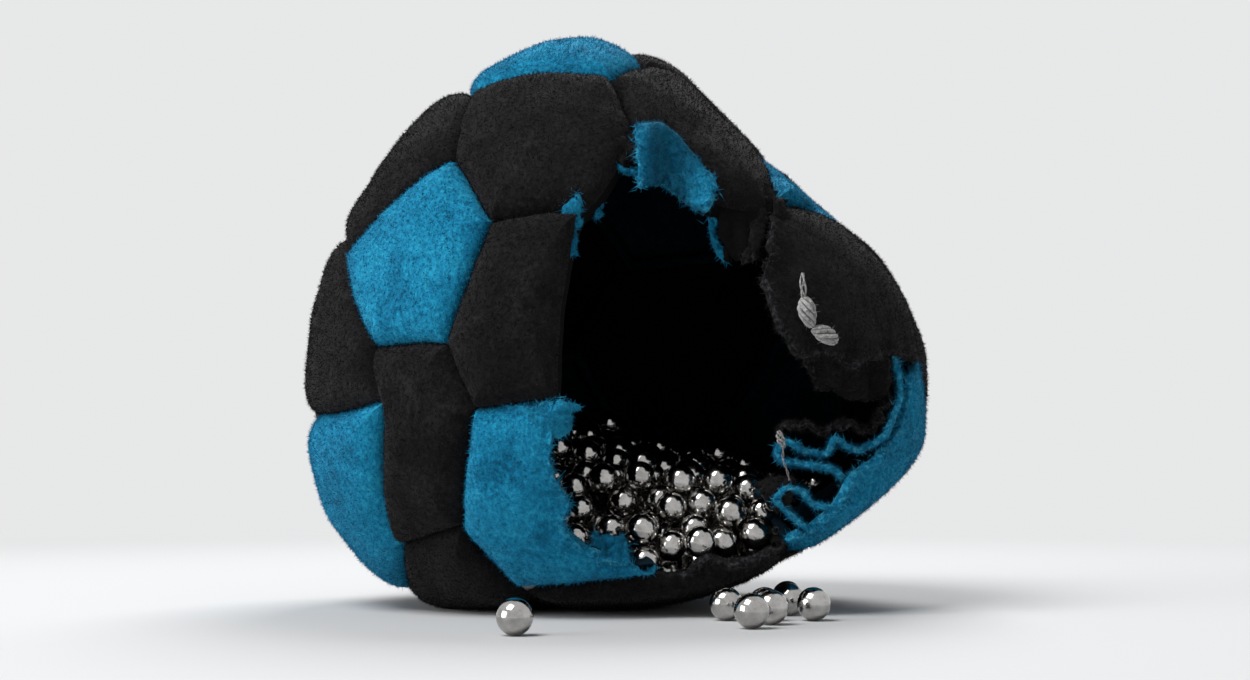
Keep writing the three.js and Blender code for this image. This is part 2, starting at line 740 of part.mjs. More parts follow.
const outlines = panelOutlines();
const shellParts = [];
for (const [name, each] of Object.entries(outlines)) {
  let geometry = panelGeometry(each);
  if (name === 'blue_lower_right') {
    const fold = solidOf(foldGeometry(blueFoldShares, foldStepCount));
    geometry = geometryOf(solidOf(geometry).add(fold));
  }
  shellParts.push(solidOf(geometry));
  addPiece(name, geometry, name.startsWith('blue') ? suedeBlue() : suedeBlack());
}

const strip = foldGeometry(blackStripShares, stripStepCount);
shellParts.push(solidOf(strip));
addPiece('black_torn_strip', strip, suedeBlack());

const frame = tongueFrame();
addPiece('tongue', tongueGeometry(frame), suedeBlue());
addPiece('tongue_seam_strip', tongueStripGeometry(frame), suedeBlue());

const thread = largest(solidOf(threadGeometry(outlines)));
shellParts.push(thread);
addPiece('seam_thread', geometryOf(thread), cotton());

// Loose end of the thread: frayed tufts on one strand that lies on the right front panel
const tufts = stitches.map(({ azimuthDegrees, elevationDegrees, sizeShare, leanDegrees }) => {
  const radius = stitchRadius * sizeShare;
  const at = bagPoint(direction(azimuthDegrees, elevationDegrees), -clearance - radius);
  const tuft = new THREE.SphereGeometry(radius, 8, 6);
  tuft.scale(1, stitchLengthShare, 1);
  tuft.rotateX(Math.PI / 2);
  tuft.rotateY(THREE.MathUtils.degToRad(leanDegrees));
  tuft.rotateZ(THREE.MathUtils.degToRad(azimuthDegrees + 90));
  tuft.translate(...at.toArray());
  return { at, solid: solidOf(tuft) };
});
const tuftStrands = tufts.slice(1).map(({ at }, index) => (
  solidOf(strandGeometry(tufts[index].at, at, threadRadius, 5))));
const looseEnd = wasm.Manifold.union([...tufts.map(({ solid }) => solid), ...tuftStrands]);
addPiece('loose_thread_end', geometryOf(looseEnd), cotton());

// Shot: the heap, single pellets bedded in its front slope, and those on the floor
const places = heapPlaces(wasm.Manifold.union(shellParts));
const singles = places
  .filter(({ row, column, centre }) => (column - row) % 2 === 0 && row % 2 === 0
    && Math.abs(centre.x) < halfWidth / 2
    && centre.z - underside(centre.x, centre.y) > pelletDiameter * singleRoomShare)
  .sort((a, b) => a.centre.y - b.centre.y)
  .slice(0, singlePelletCount);
addPiece('shot_heap', geometryOf(heapSolid(outlines, places, singles)), steel());
singles.forEach(({ centre }, index) => {
  const name = `heap_pellet_${String(index + 1).padStart(2, '0')}`;
  addPiece(name, mergedBall(centre), steel());
});
for (const { name, spot, place } of loosePelletShares) {
  const x = spot[0] * halfWidth + place[0] * pelletDiameter;
  const y = spot[1] * halfDepth + place[1] * pelletDiameter;
  addPiece(name, mergedBall(new THREE.Vector3(x, y, pelletDiameter / 2)), steel());
}

function mergedBall(centre) {
  return geometryOf(solidOf(pelletGeometry(centre, pelletDiameter / 2)));
}

export default group;
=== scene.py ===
"""A torn footbag of napped suede panels, slumped on its steel shot on a pale floor."""
import math
import random
from itertools import product

import bmesh
import bpy
from mathutils import Matrix, Vector, kdtree, noise


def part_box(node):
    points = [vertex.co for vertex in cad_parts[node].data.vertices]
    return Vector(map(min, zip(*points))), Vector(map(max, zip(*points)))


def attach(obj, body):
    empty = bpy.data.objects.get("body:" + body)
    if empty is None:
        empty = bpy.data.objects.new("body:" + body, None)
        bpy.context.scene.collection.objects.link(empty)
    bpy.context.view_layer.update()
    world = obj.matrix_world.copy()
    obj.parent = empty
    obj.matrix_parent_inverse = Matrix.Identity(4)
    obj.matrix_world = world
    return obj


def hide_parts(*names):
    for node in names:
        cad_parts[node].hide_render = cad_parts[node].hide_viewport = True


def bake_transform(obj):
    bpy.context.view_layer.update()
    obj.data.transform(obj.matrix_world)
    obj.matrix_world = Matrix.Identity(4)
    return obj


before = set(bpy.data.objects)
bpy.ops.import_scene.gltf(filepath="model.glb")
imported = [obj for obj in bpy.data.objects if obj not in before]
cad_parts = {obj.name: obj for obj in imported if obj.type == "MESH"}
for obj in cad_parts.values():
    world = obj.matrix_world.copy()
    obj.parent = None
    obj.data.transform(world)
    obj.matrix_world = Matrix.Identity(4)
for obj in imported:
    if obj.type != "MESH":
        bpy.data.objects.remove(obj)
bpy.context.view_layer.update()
MM = 0.001
# Without a seed of its own, vector noise would differ from run to run
noise.seed_set(3)


def new_object(name, data):
    made = bpy.data.objects.new(name, data)
    bpy.context.scene.collection.objects.link(made)
    return made


def mesh_object(name, bm):
    """An object with a bmesh's mesh."""
    mesh = bpy.data.meshes.new(name)
    bm.to_mesh(mesh)
    bm.free()
    return new_object(name, mesh)


# Camera: low in front of the mouth, tipped up a little
CAMERA_PLACE = Vector((0.8, -140, 9.0)) * MM
CAMERA_TILT = math.radians(5.8)
camera = new_object("camera", bpy.data.cameras.new("camera"))
camera.location = CAMERA_PLACE
camera.rotation_euler = (math.radians(90) + CAMERA_TILT, 0, 0)
camera.data.sensor_width = 36
camera.data.lens = 45.1
camera.data.clip_start = 0.005
bpy.context.scene.camera = camera

# Bag sizes, the same as the solids'
HALF_WIDTH, HALF_DEPTH, HALF_HEIGHT = 26 * MM, 25 * MM, 25.5 * MM
CENTRE_HEIGHT = 23 * MM
BASE_ROUNDING, RIGHT_ROUNDING = 1.2 * MM, 4.5 * MM
UNDERSIDE_RISE = 13 * MM
FRONT_RISE, FRONT_RISE_START = 4.5 * MM, 0.24
SKIN = 0.9 * MM
PELLET_RADIUS = 1.25 * MM

# Swellings and dents of the slumped bag: azimuth, elevation, spread in degrees, share
BULGES = [
    (-20, 45, 26, -0.26),
    (-115, 70, 30, 0.06),
    (-160, -35, 30, 0.11),
    (-20, -28, 30, 0.10),
    (-115, -40, 35, 0.10),
    (-68, -45, 30, 0.09),
    (-35, 10, 22, 0.015),
    (-28, -46, 22, 0.08),
]

BLUE_MIDDLES = {
    "front": (-80, 15),
    "upper_right": (-7, 42),
    "top": (-150, 76),
    "left": (-124, 12),
    "lower_left": (-105, -33),
    "lower_right": (-33, -30),
    "back_top": (70, 42),
    "back_left": (162, 22),
    "side_low": (-160, -31),
    "base": (80, -84),
    "back_right": (36, -13),
    "back": (112, -15),
}

# The blue panels that each one faces across a black panel
NEIGHBOURS = {
    "upper_right": "front top back_top back_right lower_right",
    "top": "front left back_left back_top upper_right",
    "left": "front lower_left side_low back_left top",
    "lower_left": "front lower_right base side_low left",
    "lower_right": "front upper_right back_right base lower_left",
    "back_top": "upper_right top back_left back back_right",
    "back_left": "top left side_low back back_top",
    "side_low": "left lower_left base back back_left",
    "base": "lower_left lower_right back_right back side_low",
    "back_right": "lower_right upper_right back_top back base",
    "back": "back_top back_left side_low base back_right",
}

# Black panels, each between three blue ones
BLACK_PANELS = {
    "front_top_right": "front upper_right top",
    "front_top_left": "front top left",
    "front_left": "front left lower_left",
    "front_right": "front lower_right upper_right",
    "top_right": "upper_right top back_top",
    "top_left": "top left back_left",
    "left": "left lower_left side_low",
    "lip": "lower_left lower_right base",
    "right": "lower_right upper_right back_right",
    "right_high": "upper_right back_right back_top",
    "crown_back": "top back_top back_left",
    "side_left": "left back_left side_low",
    "low_left": "lower_left side_low base",
    "low_right": "lower_right base back_right",
    "back_high": "back back_top back_left",
    "back_left": "back back_left side_low",
    "back_low_left": "back side_low base",
    "back_low_right": "back base back_right",
    "back_right": "back back_right back_top",
}

# Seam corners that the slump has pulled away from the even pattern
PULLED_CORNERS = {
    "left>top": (-127, 32),
    "left>front": (-113, 17),
    "left>lower_left": (-119, -5),
    "left>side_low": (-136, -5),
    "left>back_left": (-155, 14),
    "front>left": (-97, 18),
    "front>top": (-86, 38),
    "front>upper_right": (-60, 18),
    "front>lower_left": (-99, 1),
    "top>front": (-91, 53),
    "top>left": (-136, 50),
    "top>upper_right": (-78, 63),
    "lower_left>left": (-114, -16),
    "lower_left>front": (-100, -15),
    "lower_left>lower_right": (-82, -42.5),
    "lower_left>side_low": (-119, -35),
    "lower_left>base": (-112, -47),
    "side_low>left": (-133, -14),
    "side_low>lower_left": (-137, -38),
    "upper_right>top": (9, 57),
    "upper_right>front": (-57.5, 22.3),
    "upper_right>lower_right": (-11, 26),
    "lower_right>upper_right": (-21, -5),
    "lower_right>lower_left": (-56, -38),
    "lower_right>base": (-36, -54),
}
CORNER_SHARE = 0.335

# Bends of the seams round the mouth, and outlines of the panels that have a torn edge
SEAM_BENDS = {
    "black_front_top_left": [(-88, 32), (-93, 23)],
    "black_front_left": [(-98, 10), (-100, -7)],
    "black_front_top_right": [(-78, 29), (-71, 22)],
}
TORN_OUTLINES = {
    "black_front_right": [
        "front>upper_right", (-63, 6), (-62, -2), (-58, -7), (-53, -6), (-47, -8), (-40, -6), (-33, -5),
        "lower_right>upper_right", "upper_right>lower_right", "upper_right>front"],
    "black_lip": [
        "lower_left>lower_right", "lower_left>base", "base>lower_left", "base>lower_right",
        "lower_right>base", "lower_right>lower_left", (-61, -39), (-66, -41), (-72, -40), (-77, -42.5)],
    "blue_lower_left": [
        "lower_left>left", "lower_left>side_low", "lower_left>base", "lower_left>lower_right",
        (-86, -41), (-90, -39.5), (-94.5, -38), (-98, -35.5), (-99, -33.5), (-98, -30.5),
        (-99.5, -27), (-100, -22.5), (-100, -19), "lower_left>front"],
    "blue_lower_right": [
        "lower_right>upper_right", (-30, -8), (-31.5, -13), (-33.5, -16), (-36, -19), (-39.6, -21.3),
        (-43, -24), (-46.5, -26.5), (-47.5, -31), (-50.5, -33.4), (-52, -35.3), (-56, -36),
        "lower_right>lower_left", "lower_right>base", "lower_right>back_right"],
}
# A spot inside each of these panels that sees its whole outline
TORN_MIDDLES = {
    "black_front_right": (-42, 9),
    "black_lip": (-70, -53),
    "blue_lower_left": (-108.5, -37),
    "blue_lower_right": (-22, -36),
}


def direction(azimuth, elevation):
    turn, tilt = math.radians(azimuth), math.radians(elevation)
    level = math.cos(tilt)
    return Vector((level * math.cos(turn), level * math.sin(turn), math.sin(tilt)))


SWELLINGS = [(direction(az, el), math.radians(spread), share) for az, el, spread, share in BULGES]


def free_surface(towards):
    """The bag's surface from its middle, before the floor flattens it."""
    swell = 1.0
    for centre, spread, share in SWELLINGS:
        angle = math.acos(max(-1.0, min(1.0, towards.dot(centre))))
        swell += share * math.exp(-((angle / spread) ** 2))
    return Vector((towards.x * HALF_WIDTH, towards.y * HALF_DEPTH, towards.z * HALF_HEIGHT)) * swell


def underside(x, y):
    """The underside lifts off the floor to the right and at the front."""
    forward = max(-y / HALF_DEPTH - FRONT_RISE_START, 0)
    return UNDERSIDE_RISE * (max(x, 0) / HALF_WIDTH) ** 2 + FRONT_RISE * forward ** 2


def bag_point(towards, depth):
    """The point of the slumped bag at a depth below its skin."""
    point = free_surface(towards)
    point *= 1 - depth / point.length
    point.z += CENTRE_HEIGHT
    lowest = max(depth, 0) + underside(point.x, point.y)
    rounding = BASE_ROUNDING + RIGHT_ROUNDING * (max(point.x, 0) / HALF_WIDTH) ** 2
    height = point.z - lowest
    if height < -rounding:
        point.z = lowest
    elif height < rounding:
        point.z = lowest + (height + rounding) ** 2 / (4 * rounding)
    return point


# Wander of the seams: frequency over the unit ball, seed, height as a share of the radius
WANDERS = [(3.1, 2, 0.016), (9.0, 5, 0.006)]


def pulled(towards):
    """Sewn seams wander a little; every panel shares the same wander, so they still meet."""
    moved = towards.copy()
    for frequency, seed, height in WANDERS:
        offset = Vector((seed, seed * 0.7, seed * 1.3))
        moved += noise.noise_vector(towards * frequency + offset) * height
    return moved.normalized()


def between(a, b, share):
    return a.lerp(b, share).normalized()


def seam_corner(key):
    if key in PULLED_CORNERS:
        return direction(*PULLED_CORNERS[key])
    here, there = key.split(">")
    return between(direction(*BLUE_MIDDLES[here]), direction(*BLUE_MIDDLES[there]), CORNER_SHARE)


# Materials
def feed(tree, socket, value):
    """Give a socket a value, or link it to another node's socket."""
    if isinstance(value, bpy.types.NodeSocket):
        tree.links.new(value, socket)
    else:
        socket.default_value = value


def set_node(tree, node, **settings):
    """Each setting is a property of the node, or an input, with _ for a space."""
    for key, value in settings.items():
        if hasattr(node, key):
            setattr(node, key, value)
        else:
            feed(tree, node.inputs[key.replace("_", " ")], value)
    return node


def add_node(tree, kind, **settings):
    return set_node(tree, tree.nodes.new(kind), **settings)


def new_material(name, **settings):
    """A material with its node tree and its shader, which has the settings."""
    material = bpy.data.materials.new(name)
    material.use_nodes = True
    tree = material.node_tree
    return material, tree, set_node(tree, tree.nodes["Principled BSDF"], **settings)


def maths(tree, operation, first, second):
    node = add_node(tree, "ShaderNodeMath", operation=operation)
    for socket, value in zip(node.inputs, (first, second)):
        feed(tree, socket, value)
    return node.outputs[0]


def object_noise(tree, **settings):
    """A noise texture's value on Object coordinates."""
    place = add_node(tree, "ShaderNodeTexCoord").outputs["Object"]
    return add_node(tree, "ShaderNodeTexNoise", Vector=place, **settings).outputs["Fac"]


def mapped(tree, value, **settings):
    return add_node(tree, "ShaderNodeMapRange", Value=value, **settings).outputs["Result"]


def bumped(tree, height, **settings):
    return add_node(tree, "ShaderNodeBump", Height=height, **settings).outputs["Normal"]


# Where a mix node has its share and the two things that it mixes, and its result
MIX_SOCKETS = {"FLOAT": ((0, 2, 3), 0), "RGBA": ((0, 6, 7), 2)}


def mixed(tree, share, first, second, data_type="RGBA", blend_type="MIX"):
    node = add_node(tree, "ShaderNodeMix", data_type=data_type, blend_type=blend_type)
    places, result = MIX_SOCKETS[data_type]
    for place, value in zip(places, (share, first, second)):
        feed(tree, node.inputs[place], value)
    return node.outputs[result]


def colour_ramp(tree, share, stops):
    """The colour that a share picks from stops."""
    ramp = add_node(tree, "ShaderNodeValToRGB", Fac=share)
    elements = ramp.color_ramp.elements
    while len(elements) < len(stops):
        elements.new(0.5)
    for element, (position, colour) in zip(elements, stops):
        element.position = position
        element.color = (*colour, 1)
    return ramp.outputs["Color"]


def painted(tree, name):
    """The value of a piece's attribute."""
    return add_node(tree, "ShaderNodeAttribute", attribute_name=name).outputs["Fac"]


# Painted shade for a scrap's folds: the leather there keeps these shares of its red, green and blue
FOLD_SHADE = (0.10, 0.22, 0.24, 1)


def suede(name, deep, middle, light, tips, sheen, sheen_tint):
    """Napped suede: brushed patches, a speckle of fibre tips, a soft sheen, painted shade in scraps' folds,
    and pale torn edges speckled with painted glints.
    """
    material, tree, shader = new_material(
        name, Roughness=0.92, Specular_IOR_Level=0.12, Sheen_Weight=sheen, Sheen_Roughness=0.45,
        Sheen_Tint=(*sheen_tint, 1))
    patches = object_noise(tree, Scale=260.0, Detail=4.0, Roughness=0.6, Distortion=0.6)
    speckle = object_noise(tree, Scale=2600.0, Detail=3.0, Roughness=0.7)
    fibres = object_noise(tree, Scale=1300.0, Detail=5.0, Roughness=0.75, Distortion=1.4)
    brushed = mixed(tree, 0.55, patches, speckle, data_type="FLOAT")
    colour = colour_ramp(tree, brushed, [(0.34, deep), (0.5, middle), (0.68, light)])
    # Painted shade: the colour is darkened where the scrap's shade attribute is high, away from its torn
    # sides
    shaded = mixed(tree, painted(tree, "painted_shade"), colour, FOLD_SHADE, blend_type="MULTIPLY")
    # Pale frayed fibres at torn edges, speckled with painted glints
    frayed = mapped(tree, painted(tree, "fray"), From_Min=0.2, To_Max=0.75)
    fray_and_painted_glints = maths(tree, "MULTIPLY", frayed, mapped(tree, speckle, From_Min=0.50, From_Max=0.62))
    coarse = bumped(tree, fibres, Strength=0.7, Distance=0.25 * MM)
    fine = bumped(tree, speckle, Strength=0.6, Distance=0.12 * MM, Normal=coarse)
    set_node(tree, shader, Base_Color=mixed(tree, fray_and_painted_glints, shaded, (*tips, 1)), Normal=fine)
    return material


def steel(name):
    """Bright shot with a faint grain and small scuffs."""
    material, tree, shader = new_material(name, Metallic=1.0)
    scuffs = object_noise(tree, Scale=900.0, Detail=5.0, Roughness=0.65)
    grain = object_noise(tree, Scale=5200.0, Detail=2.0)
    tint = colour_ramp(tree, scuffs, [(0.35, (0.33, 0.32, 0.305)), (0.6, (0.49, 0.48, 0.465))])
    rough = mapped(tree, scuffs, From_Min=0.4, From_Max=0.75, To_Min=0.09, To_Max=0.24)
    bump = bumped(tree, grain, Strength=0.12, Distance=0.05 * MM)
    set_node(tree, shader, Base_Color=tint, Roughness=rough, Normal=bump)
    return material


def floss(name, dark, light):
    """Soft twisted cotton."""
    material, tree, shader = new_material(name, Roughness=0.85, Specular_IOR_Level=0.2, Sheen_Weight=0.35)
    streaks = object_noise(tree, Scale=1900.0, Detail=5.0, Roughness=0.7, Distortion=2.0)
    colour = colour_ramp(tree, streaks, [(0.32, dark), (0.66, light)])
    bump = bumped(tree, streaks, Strength=0.7, Distance=0.2 * MM)
    set_node(tree, shader, Base_Color=colour, Normal=bump)
    return material


# Each suede: deep, middle and light tones, pale frayed tips that also carry painted glints, sheen weight and
# sheen tint
BLUE = suede("blue_suede", (0.0015, 0.080, 0.168), (0.005, 0.190, 0.350), (0.022, 0.340, 0.530),
             (0.060, 0.330, 0.460), 0.10, (0.35, 0.8, 1.0))
BLACK = suede("black_suede", (0.0016, 0.0015, 0.0018), (0.0048, 0.0046, 0.0050), (0.017, 0.016, 0.017),
              (0.045, 0.046, 0.052), 0.045, (0.95, 0.9, 0.95))
# Flesh sides, darker than the faces and made nearly black besides: painted shade inside the bag and in the
# seam crevices
BLUE_FLESH_PAINTED_SHADE = suede("blue_flesh_side_painted_shade", (0.001, 0.006, 0.010), (0.0015, 0.010, 0.018), (0.003, 0.020, 0.032),
                   (0.002, 0.014, 0.024), 0.0, (1, 1, 1))
BLACK_FLESH_PAINTED_SHADE = suede("black_flesh_side_painted_shade", (0.001, 0.001, 0.001), (0.002, 0.002, 0.002), (0.004, 0.004, 0.004),
                    (0.003, 0.003, 0.003), 0.0, (1, 1, 1))
FLESH = {BLUE: BLUE_FLESH_PAINTED_SHADE, BLACK: BLACK_FLESH_PAINTED_SHADE}
STEEL = steel("bright_shot")
THREAD = floss("grey_floss", (0.070, 0.068, 0.066), (0.52, 0.51, 0.50))
# Painted shade: the thread deep in the seams is made nearly black
SEAM_THREAD_PAINTED_DARK = floss("seam_thread_painted_shade", (0.002, 0.002, 0.002), (0.006, 0.006, 0.006))


def geometry_group(name):
    """An empty geometry group, with the nodes at its start and end."""
    tree = bpy.data.node_groups.new(name, "GeometryNodeTree")
    for way in ("INPUT", "OUTPUT"):
        tree.interface.new_socket("Geometry", in_out=way, socket_type="NodeSocketGeometry")
    return tree, tree.nodes.new("NodeGroupInput"), tree.nodes.new("NodeGroupOutput")


def dress(tree, shape, material, end):
    """Shade a shape smooth, give it its material and send it to the end of a group."""
    smooth = add_node(tree, "GeometryNodeSetShadeSmooth", Geometry=shape).outputs[0]
    dressed = add_node(tree, "GeometryNodeSetMaterial", Geometry=smooth, Material=material)
    tree.links.new(dressed.outputs[0], end.inputs[0])


# Nap: real fibres scattered over a piece from its "nap" and "fray" attributes
LEAN = (1.25, 1.25, 3.1)
LEAST_SIZE, MOST_SIZE = 0.45, 1.25


def named_value(tree, key):
    node = add_node(tree, "GeometryNodeInputNamedAttribute", data_type="FLOAT", Name=key)
    return node.outputs["Attribute"]


def chance(tree, low, high, seed, kind="FLOAT"):
    """A random value for each point."""
    node = add_node(tree, "FunctionNodeRandomValue", data_type=kind, Seed=seed)
    least, most = (socket for socket in node.inputs if socket.enabled and socket.name in ("Min", "Max"))
    least.default_value, most.default_value = low, high
    return next(socket for socket in node.outputs if socket.enabled)


def planted(tree, points, shape, **settings):
    """A copy of a shape at every point, as real geometry."""
    place = add_node(tree, "GeometryNodeInstanceOnPoints", Points=points, Instance=shape, **settings)
    return add_node(tree, "GeometryNodeRealizeInstances", Geometry=place.outputs[0]).outputs[0]


def nap_tree(name, material, density, length, width, fray_growth, spread_by="nap"):
    """Fibres on the faces of one material, spread by an attribute and longer where frayed."""
    tree, start, end = geometry_group(name)
    outside = add_node(tree, "GeometryNodeMaterialSelection", Material=material).outputs[0]
    shown = maths(tree, "MULTIPLY", named_value(tree, spread_by), outside)
    scatter = add_node(tree, "GeometryNodeDistributePointsOnFaces", Mesh=start.outputs[0],
                       Density=maths(tree, "MULTIPLY", shown, density))
    fibre = add_node(tree, "GeometryNodeMeshCone", fill_type="NONE", Vertices=3, Side_Segments=1,
                     Radius_Top=0.0, Radius_Bottom=width, Depth=length)
    leaning = chance(tree, [-most for most in LEAN], LEAN, 3, "FLOAT_VECTOR")
    lean_by = add_node(tree, "FunctionNodeEulerToRotation", Euler=leaning).outputs[0]
    lean = add_node(tree, "FunctionNodeRotateRotation", rotation_space="LOCAL",
                    Rotation=scatter.outputs["Rotation"], Rotate_By=lean_by).outputs[0]
    growth = maths(tree, "ADD", maths(tree, "MULTIPLY", named_value(tree, "fray"), fray_growth), 1.0)
    size = maths(tree, "MULTIPLY", growth, chance(tree, LEAST_SIZE, MOST_SIZE, 8))
    along = add_node(tree, "ShaderNodeCombineXYZ", X=1.0, Y=1.0, Z=size).outputs[0]
    fibres = planted(tree, scatter.outputs["Points"], fibre.outputs["Mesh"], Rotation=lean, Scale=along)
    dressed = add_node(tree, "GeometryNodeSetMaterial", Geometry=fibres, Material=material)
    join = tree.nodes.new("GeometryNodeJoinGeometry")
    tree.links.new(dressed.outputs[0], join.inputs[0])
    tree.links.new(start.outputs[0], join.inputs[0])
    tree.links.new(join.outputs[0], end.inputs[0])
    return tree


# Fibres to the square metre, length, width and how much longer they are where frayed
NAP_FIBRES = (18.5e6, 0.36 * MM, 0.032 * MM, 0.6)
BLUE_TUFTS, BLACK_TUFTS = (4e6, 0.75 * MM, 0.040 * MM, 0.0), (3e6, 0.70 * MM, 0.036 * MM, 0.0)
FLUFF = (1.5e6, 0.45 * MM, 0.018 * MM, 1.0)
NAP = {
    BLUE: [nap_tree("blue_nap", BLUE, *NAP_FIBRES),
           nap_tree("blue_tufts", BLUE, *BLUE_TUFTS, spread_by="fray")],
    BLACK: [nap_tree("black_nap", BLACK, *NAP_FIBRES),
            nap_tree("black_tufts", BLACK, *BLACK_TUFTS, spread_by="fray")],
    THREAD: [nap_tree("floss_fluff", THREAD, *FLUFF)],
}
napped = []


def grow_nap():
    """Nap comes last, because live fibres would slow every step before it."""
    for piece in napped:
        for tree in NAP[piece.data.materials[0]]:
            piece.modifiers.new(tree.name, "NODES").node_group = tree


def finished(name, bm, material, body, nodes=(), skin=SKIN, smoothing=1, inner_side=True):
    """Make a bmesh into a piece with its materials, wall, smoothing, nap, body and replaced nodes."""
    piece = mesh_object(name, bm)
    for face in piece.data.polygons:
        face.use_smooth = True
    piece.data.materials.append(material)
    inner_side = inner_side and material in FLESH
    if inner_side:
        piece.data.materials.append(FLESH[material])
    if skin:
        wall = piece.modifiers.new("wall", "SOLIDIFY")
        wall.thickness = skin
        wall.offset = -1
        wall.material_offset = int(inner_side)
    if smoothing:
        smooth = piece.modifiers.new("smooth", "SUBSURF")
        smooth.levels = smooth.render_levels = smoothing
    if material in NAP and piece.data.attributes.get("nap"):
        napped.append(piece)
    if body:
        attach(piece, body)
    if nodes:
        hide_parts(*nodes)
    return piece


# Panels
SEAM_DIP = 1.6 * MM
ROLL_WIDTH = 3.0 * MM
CROWN, CROWN_REACH = 0.15 * MM, 2.2 * ROLL_WIDTH
ALLOWANCE = (1.0 * MM, 2.2 * MM)
SEAM_ROOM = 0.03 * MM
RIM_STEP, CORNER_NEARNESS = 0.5 * MM, 0.25
# The seam at the right edge is pulled flatter
FLAT_SEAM, FLAT_SPREAD, FLAT_SHARE = (-16, 11), math.radians(17), 0.75
# Relief of a panel: height and frequency over the unit ball
RAGGED_HEIGHT, RAGGED = 0.6 * MM, (48, 21)
PUCKERS, DENTS = (0.30 * MM, 21), (0.42 * MM, 4.5)
SMALL_DENTS, CURL = (0.16 * MM, 11), (0.6 * MM, 13)
EDGE_REACH, FRAY_REACH = 1.9 * MM, 0.5 * MM
TEAR_SPREAD = 4
LEAST_ALLOWANCE, ALLOWANCE_TAPER = 0.08, 1.8
SEAM_CALM = 0.6
FIRST_PANEL_SEED = 12
RING_SHARES = [0.985, 0.955, 0.915, 0.865, 0.80, 0.72, 0.63, 0.53, 0.43, 0.33, 0.23, 0.13]


def corner_kept(steps):
    """Even shares along an edge, with one more close to each end that keeps the corners crisp."""
    near = CORNER_NEARNESS / steps
    return [0.0, near] + [step / steps for step in range(1, steps)] + [1 - near]


# The ends of each sewn edge, once for every panel that has it
seam_ends = {}


def panel_rim(name, corners):
    """Directions round a panel, anticlockwise from outside, each with how torn it is."""
    points = [(seam_corner(key), "seam") if isinstance(key, str) else (direction(*key), "torn")
              for key in TORN_OUTLINES.get(name, corners)]
    points += [(direction(*each), "seam") for each in SEAM_BENDS.get(name, [])]
    if name in TORN_OUTLINES:
        middle = direction(*TORN_MIDDLES[name])
    else:
        middle = sum((each[0] for each in points), Vector()).normalized()
        across = middle.cross(points[0][0]).normalized()
        along = across.cross(middle)
        points.sort(key=lambda each: math.atan2(each[0].dot(across), each[0].dot(along)))
    rim = []
    for (here, kind), (there, next_kind) in zip(points, points[1:] + points[:1]):
        torn = 1.0 if "torn" in (kind, next_kind) else 0.0
        if not torn:
            ends = sorted((here, there), key=lambda end: [round(value, 4) for value in end])
            seam_ends.setdefault(str([[round(value, 4) for value in end] for end in ends]), []).append(ends)
        steps = max(1, round(here.angle(there) * HALF_WIDTH / RIM_STEP))
        rim += [(between(here, there, share), torn) for share in corner_kept(steps)]
    return middle, rim


def seam_dip(towards):
    angle = towards.angle(direction(*FLAT_SEAM))
    return SEAM_DIP * (1 - FLAT_SHARE * math.exp(-((angle / FLAT_SPREAD) ** 2)))


def rolled_depth(distance, dip):
    """How far the skin lies below the crown, at a distance in from a seam that dips so far."""
    near = max(0.0, 1 - distance / ROLL_WIDTH)
    far = min(1.0, distance / CROWN_REACH)
    return dip * (1 - math.sqrt(max(0.0, 1 - near * near))) - CROWN * far * far * (3 - 2 * far)


def relief(towards, kind, offset):
    height, frequency = kind
    return noise.noise(towards * frequency + Vector(offset)) * height


def drawn_rim(rim, middle, seed):
    """The rim drawn in by half the room of its seams, and ragged where it is torn."""
    drawn = []
    for index, (here, torn) in enumerate(rim):
        before, after = rim[index - 1][0], rim[(index + 1) % len(rim)][0]
        inward = here.cross(after - before).normalized()
        shift = SEAM_ROOM
        if torn:
            fine, broad = (here * frequency for frequency in RAGGED)
            ragged = (noise.noise(fine + Vector((seed, 0, 0))) + noise.noise(broad)) / 2
            shift += ragged * abs(inward.dot((middle - here).normalized())) * RAGGED_HEIGHT
        drawn.append((here + inward * shift / HALF_WIDTH).normalized())
    return drawn


def torn_shares(rim):
    """How torn the rim is at each of its points, smoothed along it."""
    count, window = len(rim), range(-TEAR_SPREAD, TEAR_SPREAD + 1)
    return [sum(rim[(index + step) % count][1] for step in window) / len(window) for index in range(count)]


def ringed_face(bm, drawn, middle):
    """Faces in rings from a rim to its middle; gives the rim and every vertex with its share."""
    rim_ring = outer = [bm.verts.new(each) for each in drawn]
    placed = [(outer, 1.0)]
    for share in RING_SHARES:
        inner = [bm.verts.new(between(middle, each, share)) for each in drawn]
        for corners in zip(outer, outer[1:] + outer[:1], inner[1:] + inner[:1], inner):
            bm.faces.new(corners)
        placed.append((inner, share))
        outer = inner
    centre = bm.verts.new(middle)
    for first, second in zip(outer, outer[1:] + outer[:1]):
        bm.faces.new((first, second, centre))
    placed.append(([centre], 0.0))
    return rim_ring, placed


def add_allowance(bm, ring, rim, drawn, tearing):
    """Leather that turns in from the sewn edges of a panel."""
    sewn = [(index, (index + 1) % len(rim)) for index, (_, torn) in enumerate(rim) if not torn]
    for depth in ALLOWANCE:
        lower = {}
        for index in sorted(set(sum(sewn, ()))):
            towards, torn = pulled(drawn[index]), tearing[index]
            kept = max(LEAST_ALLOWANCE, 1 - ALLOWANCE_TAPER * torn)
            lower[index] = bm.verts.new(bag_point(towards, seam_dip(towards) * (1 - torn) + depth * kept))
        for here, there in sewn:
            face = bm.faces.new((ring[there], ring[here], lower[here], lower[there]))
            # The allowance shows its near-black flesh side: painted shade in the seam crevices
            face.material_index = 1
        ring = lower


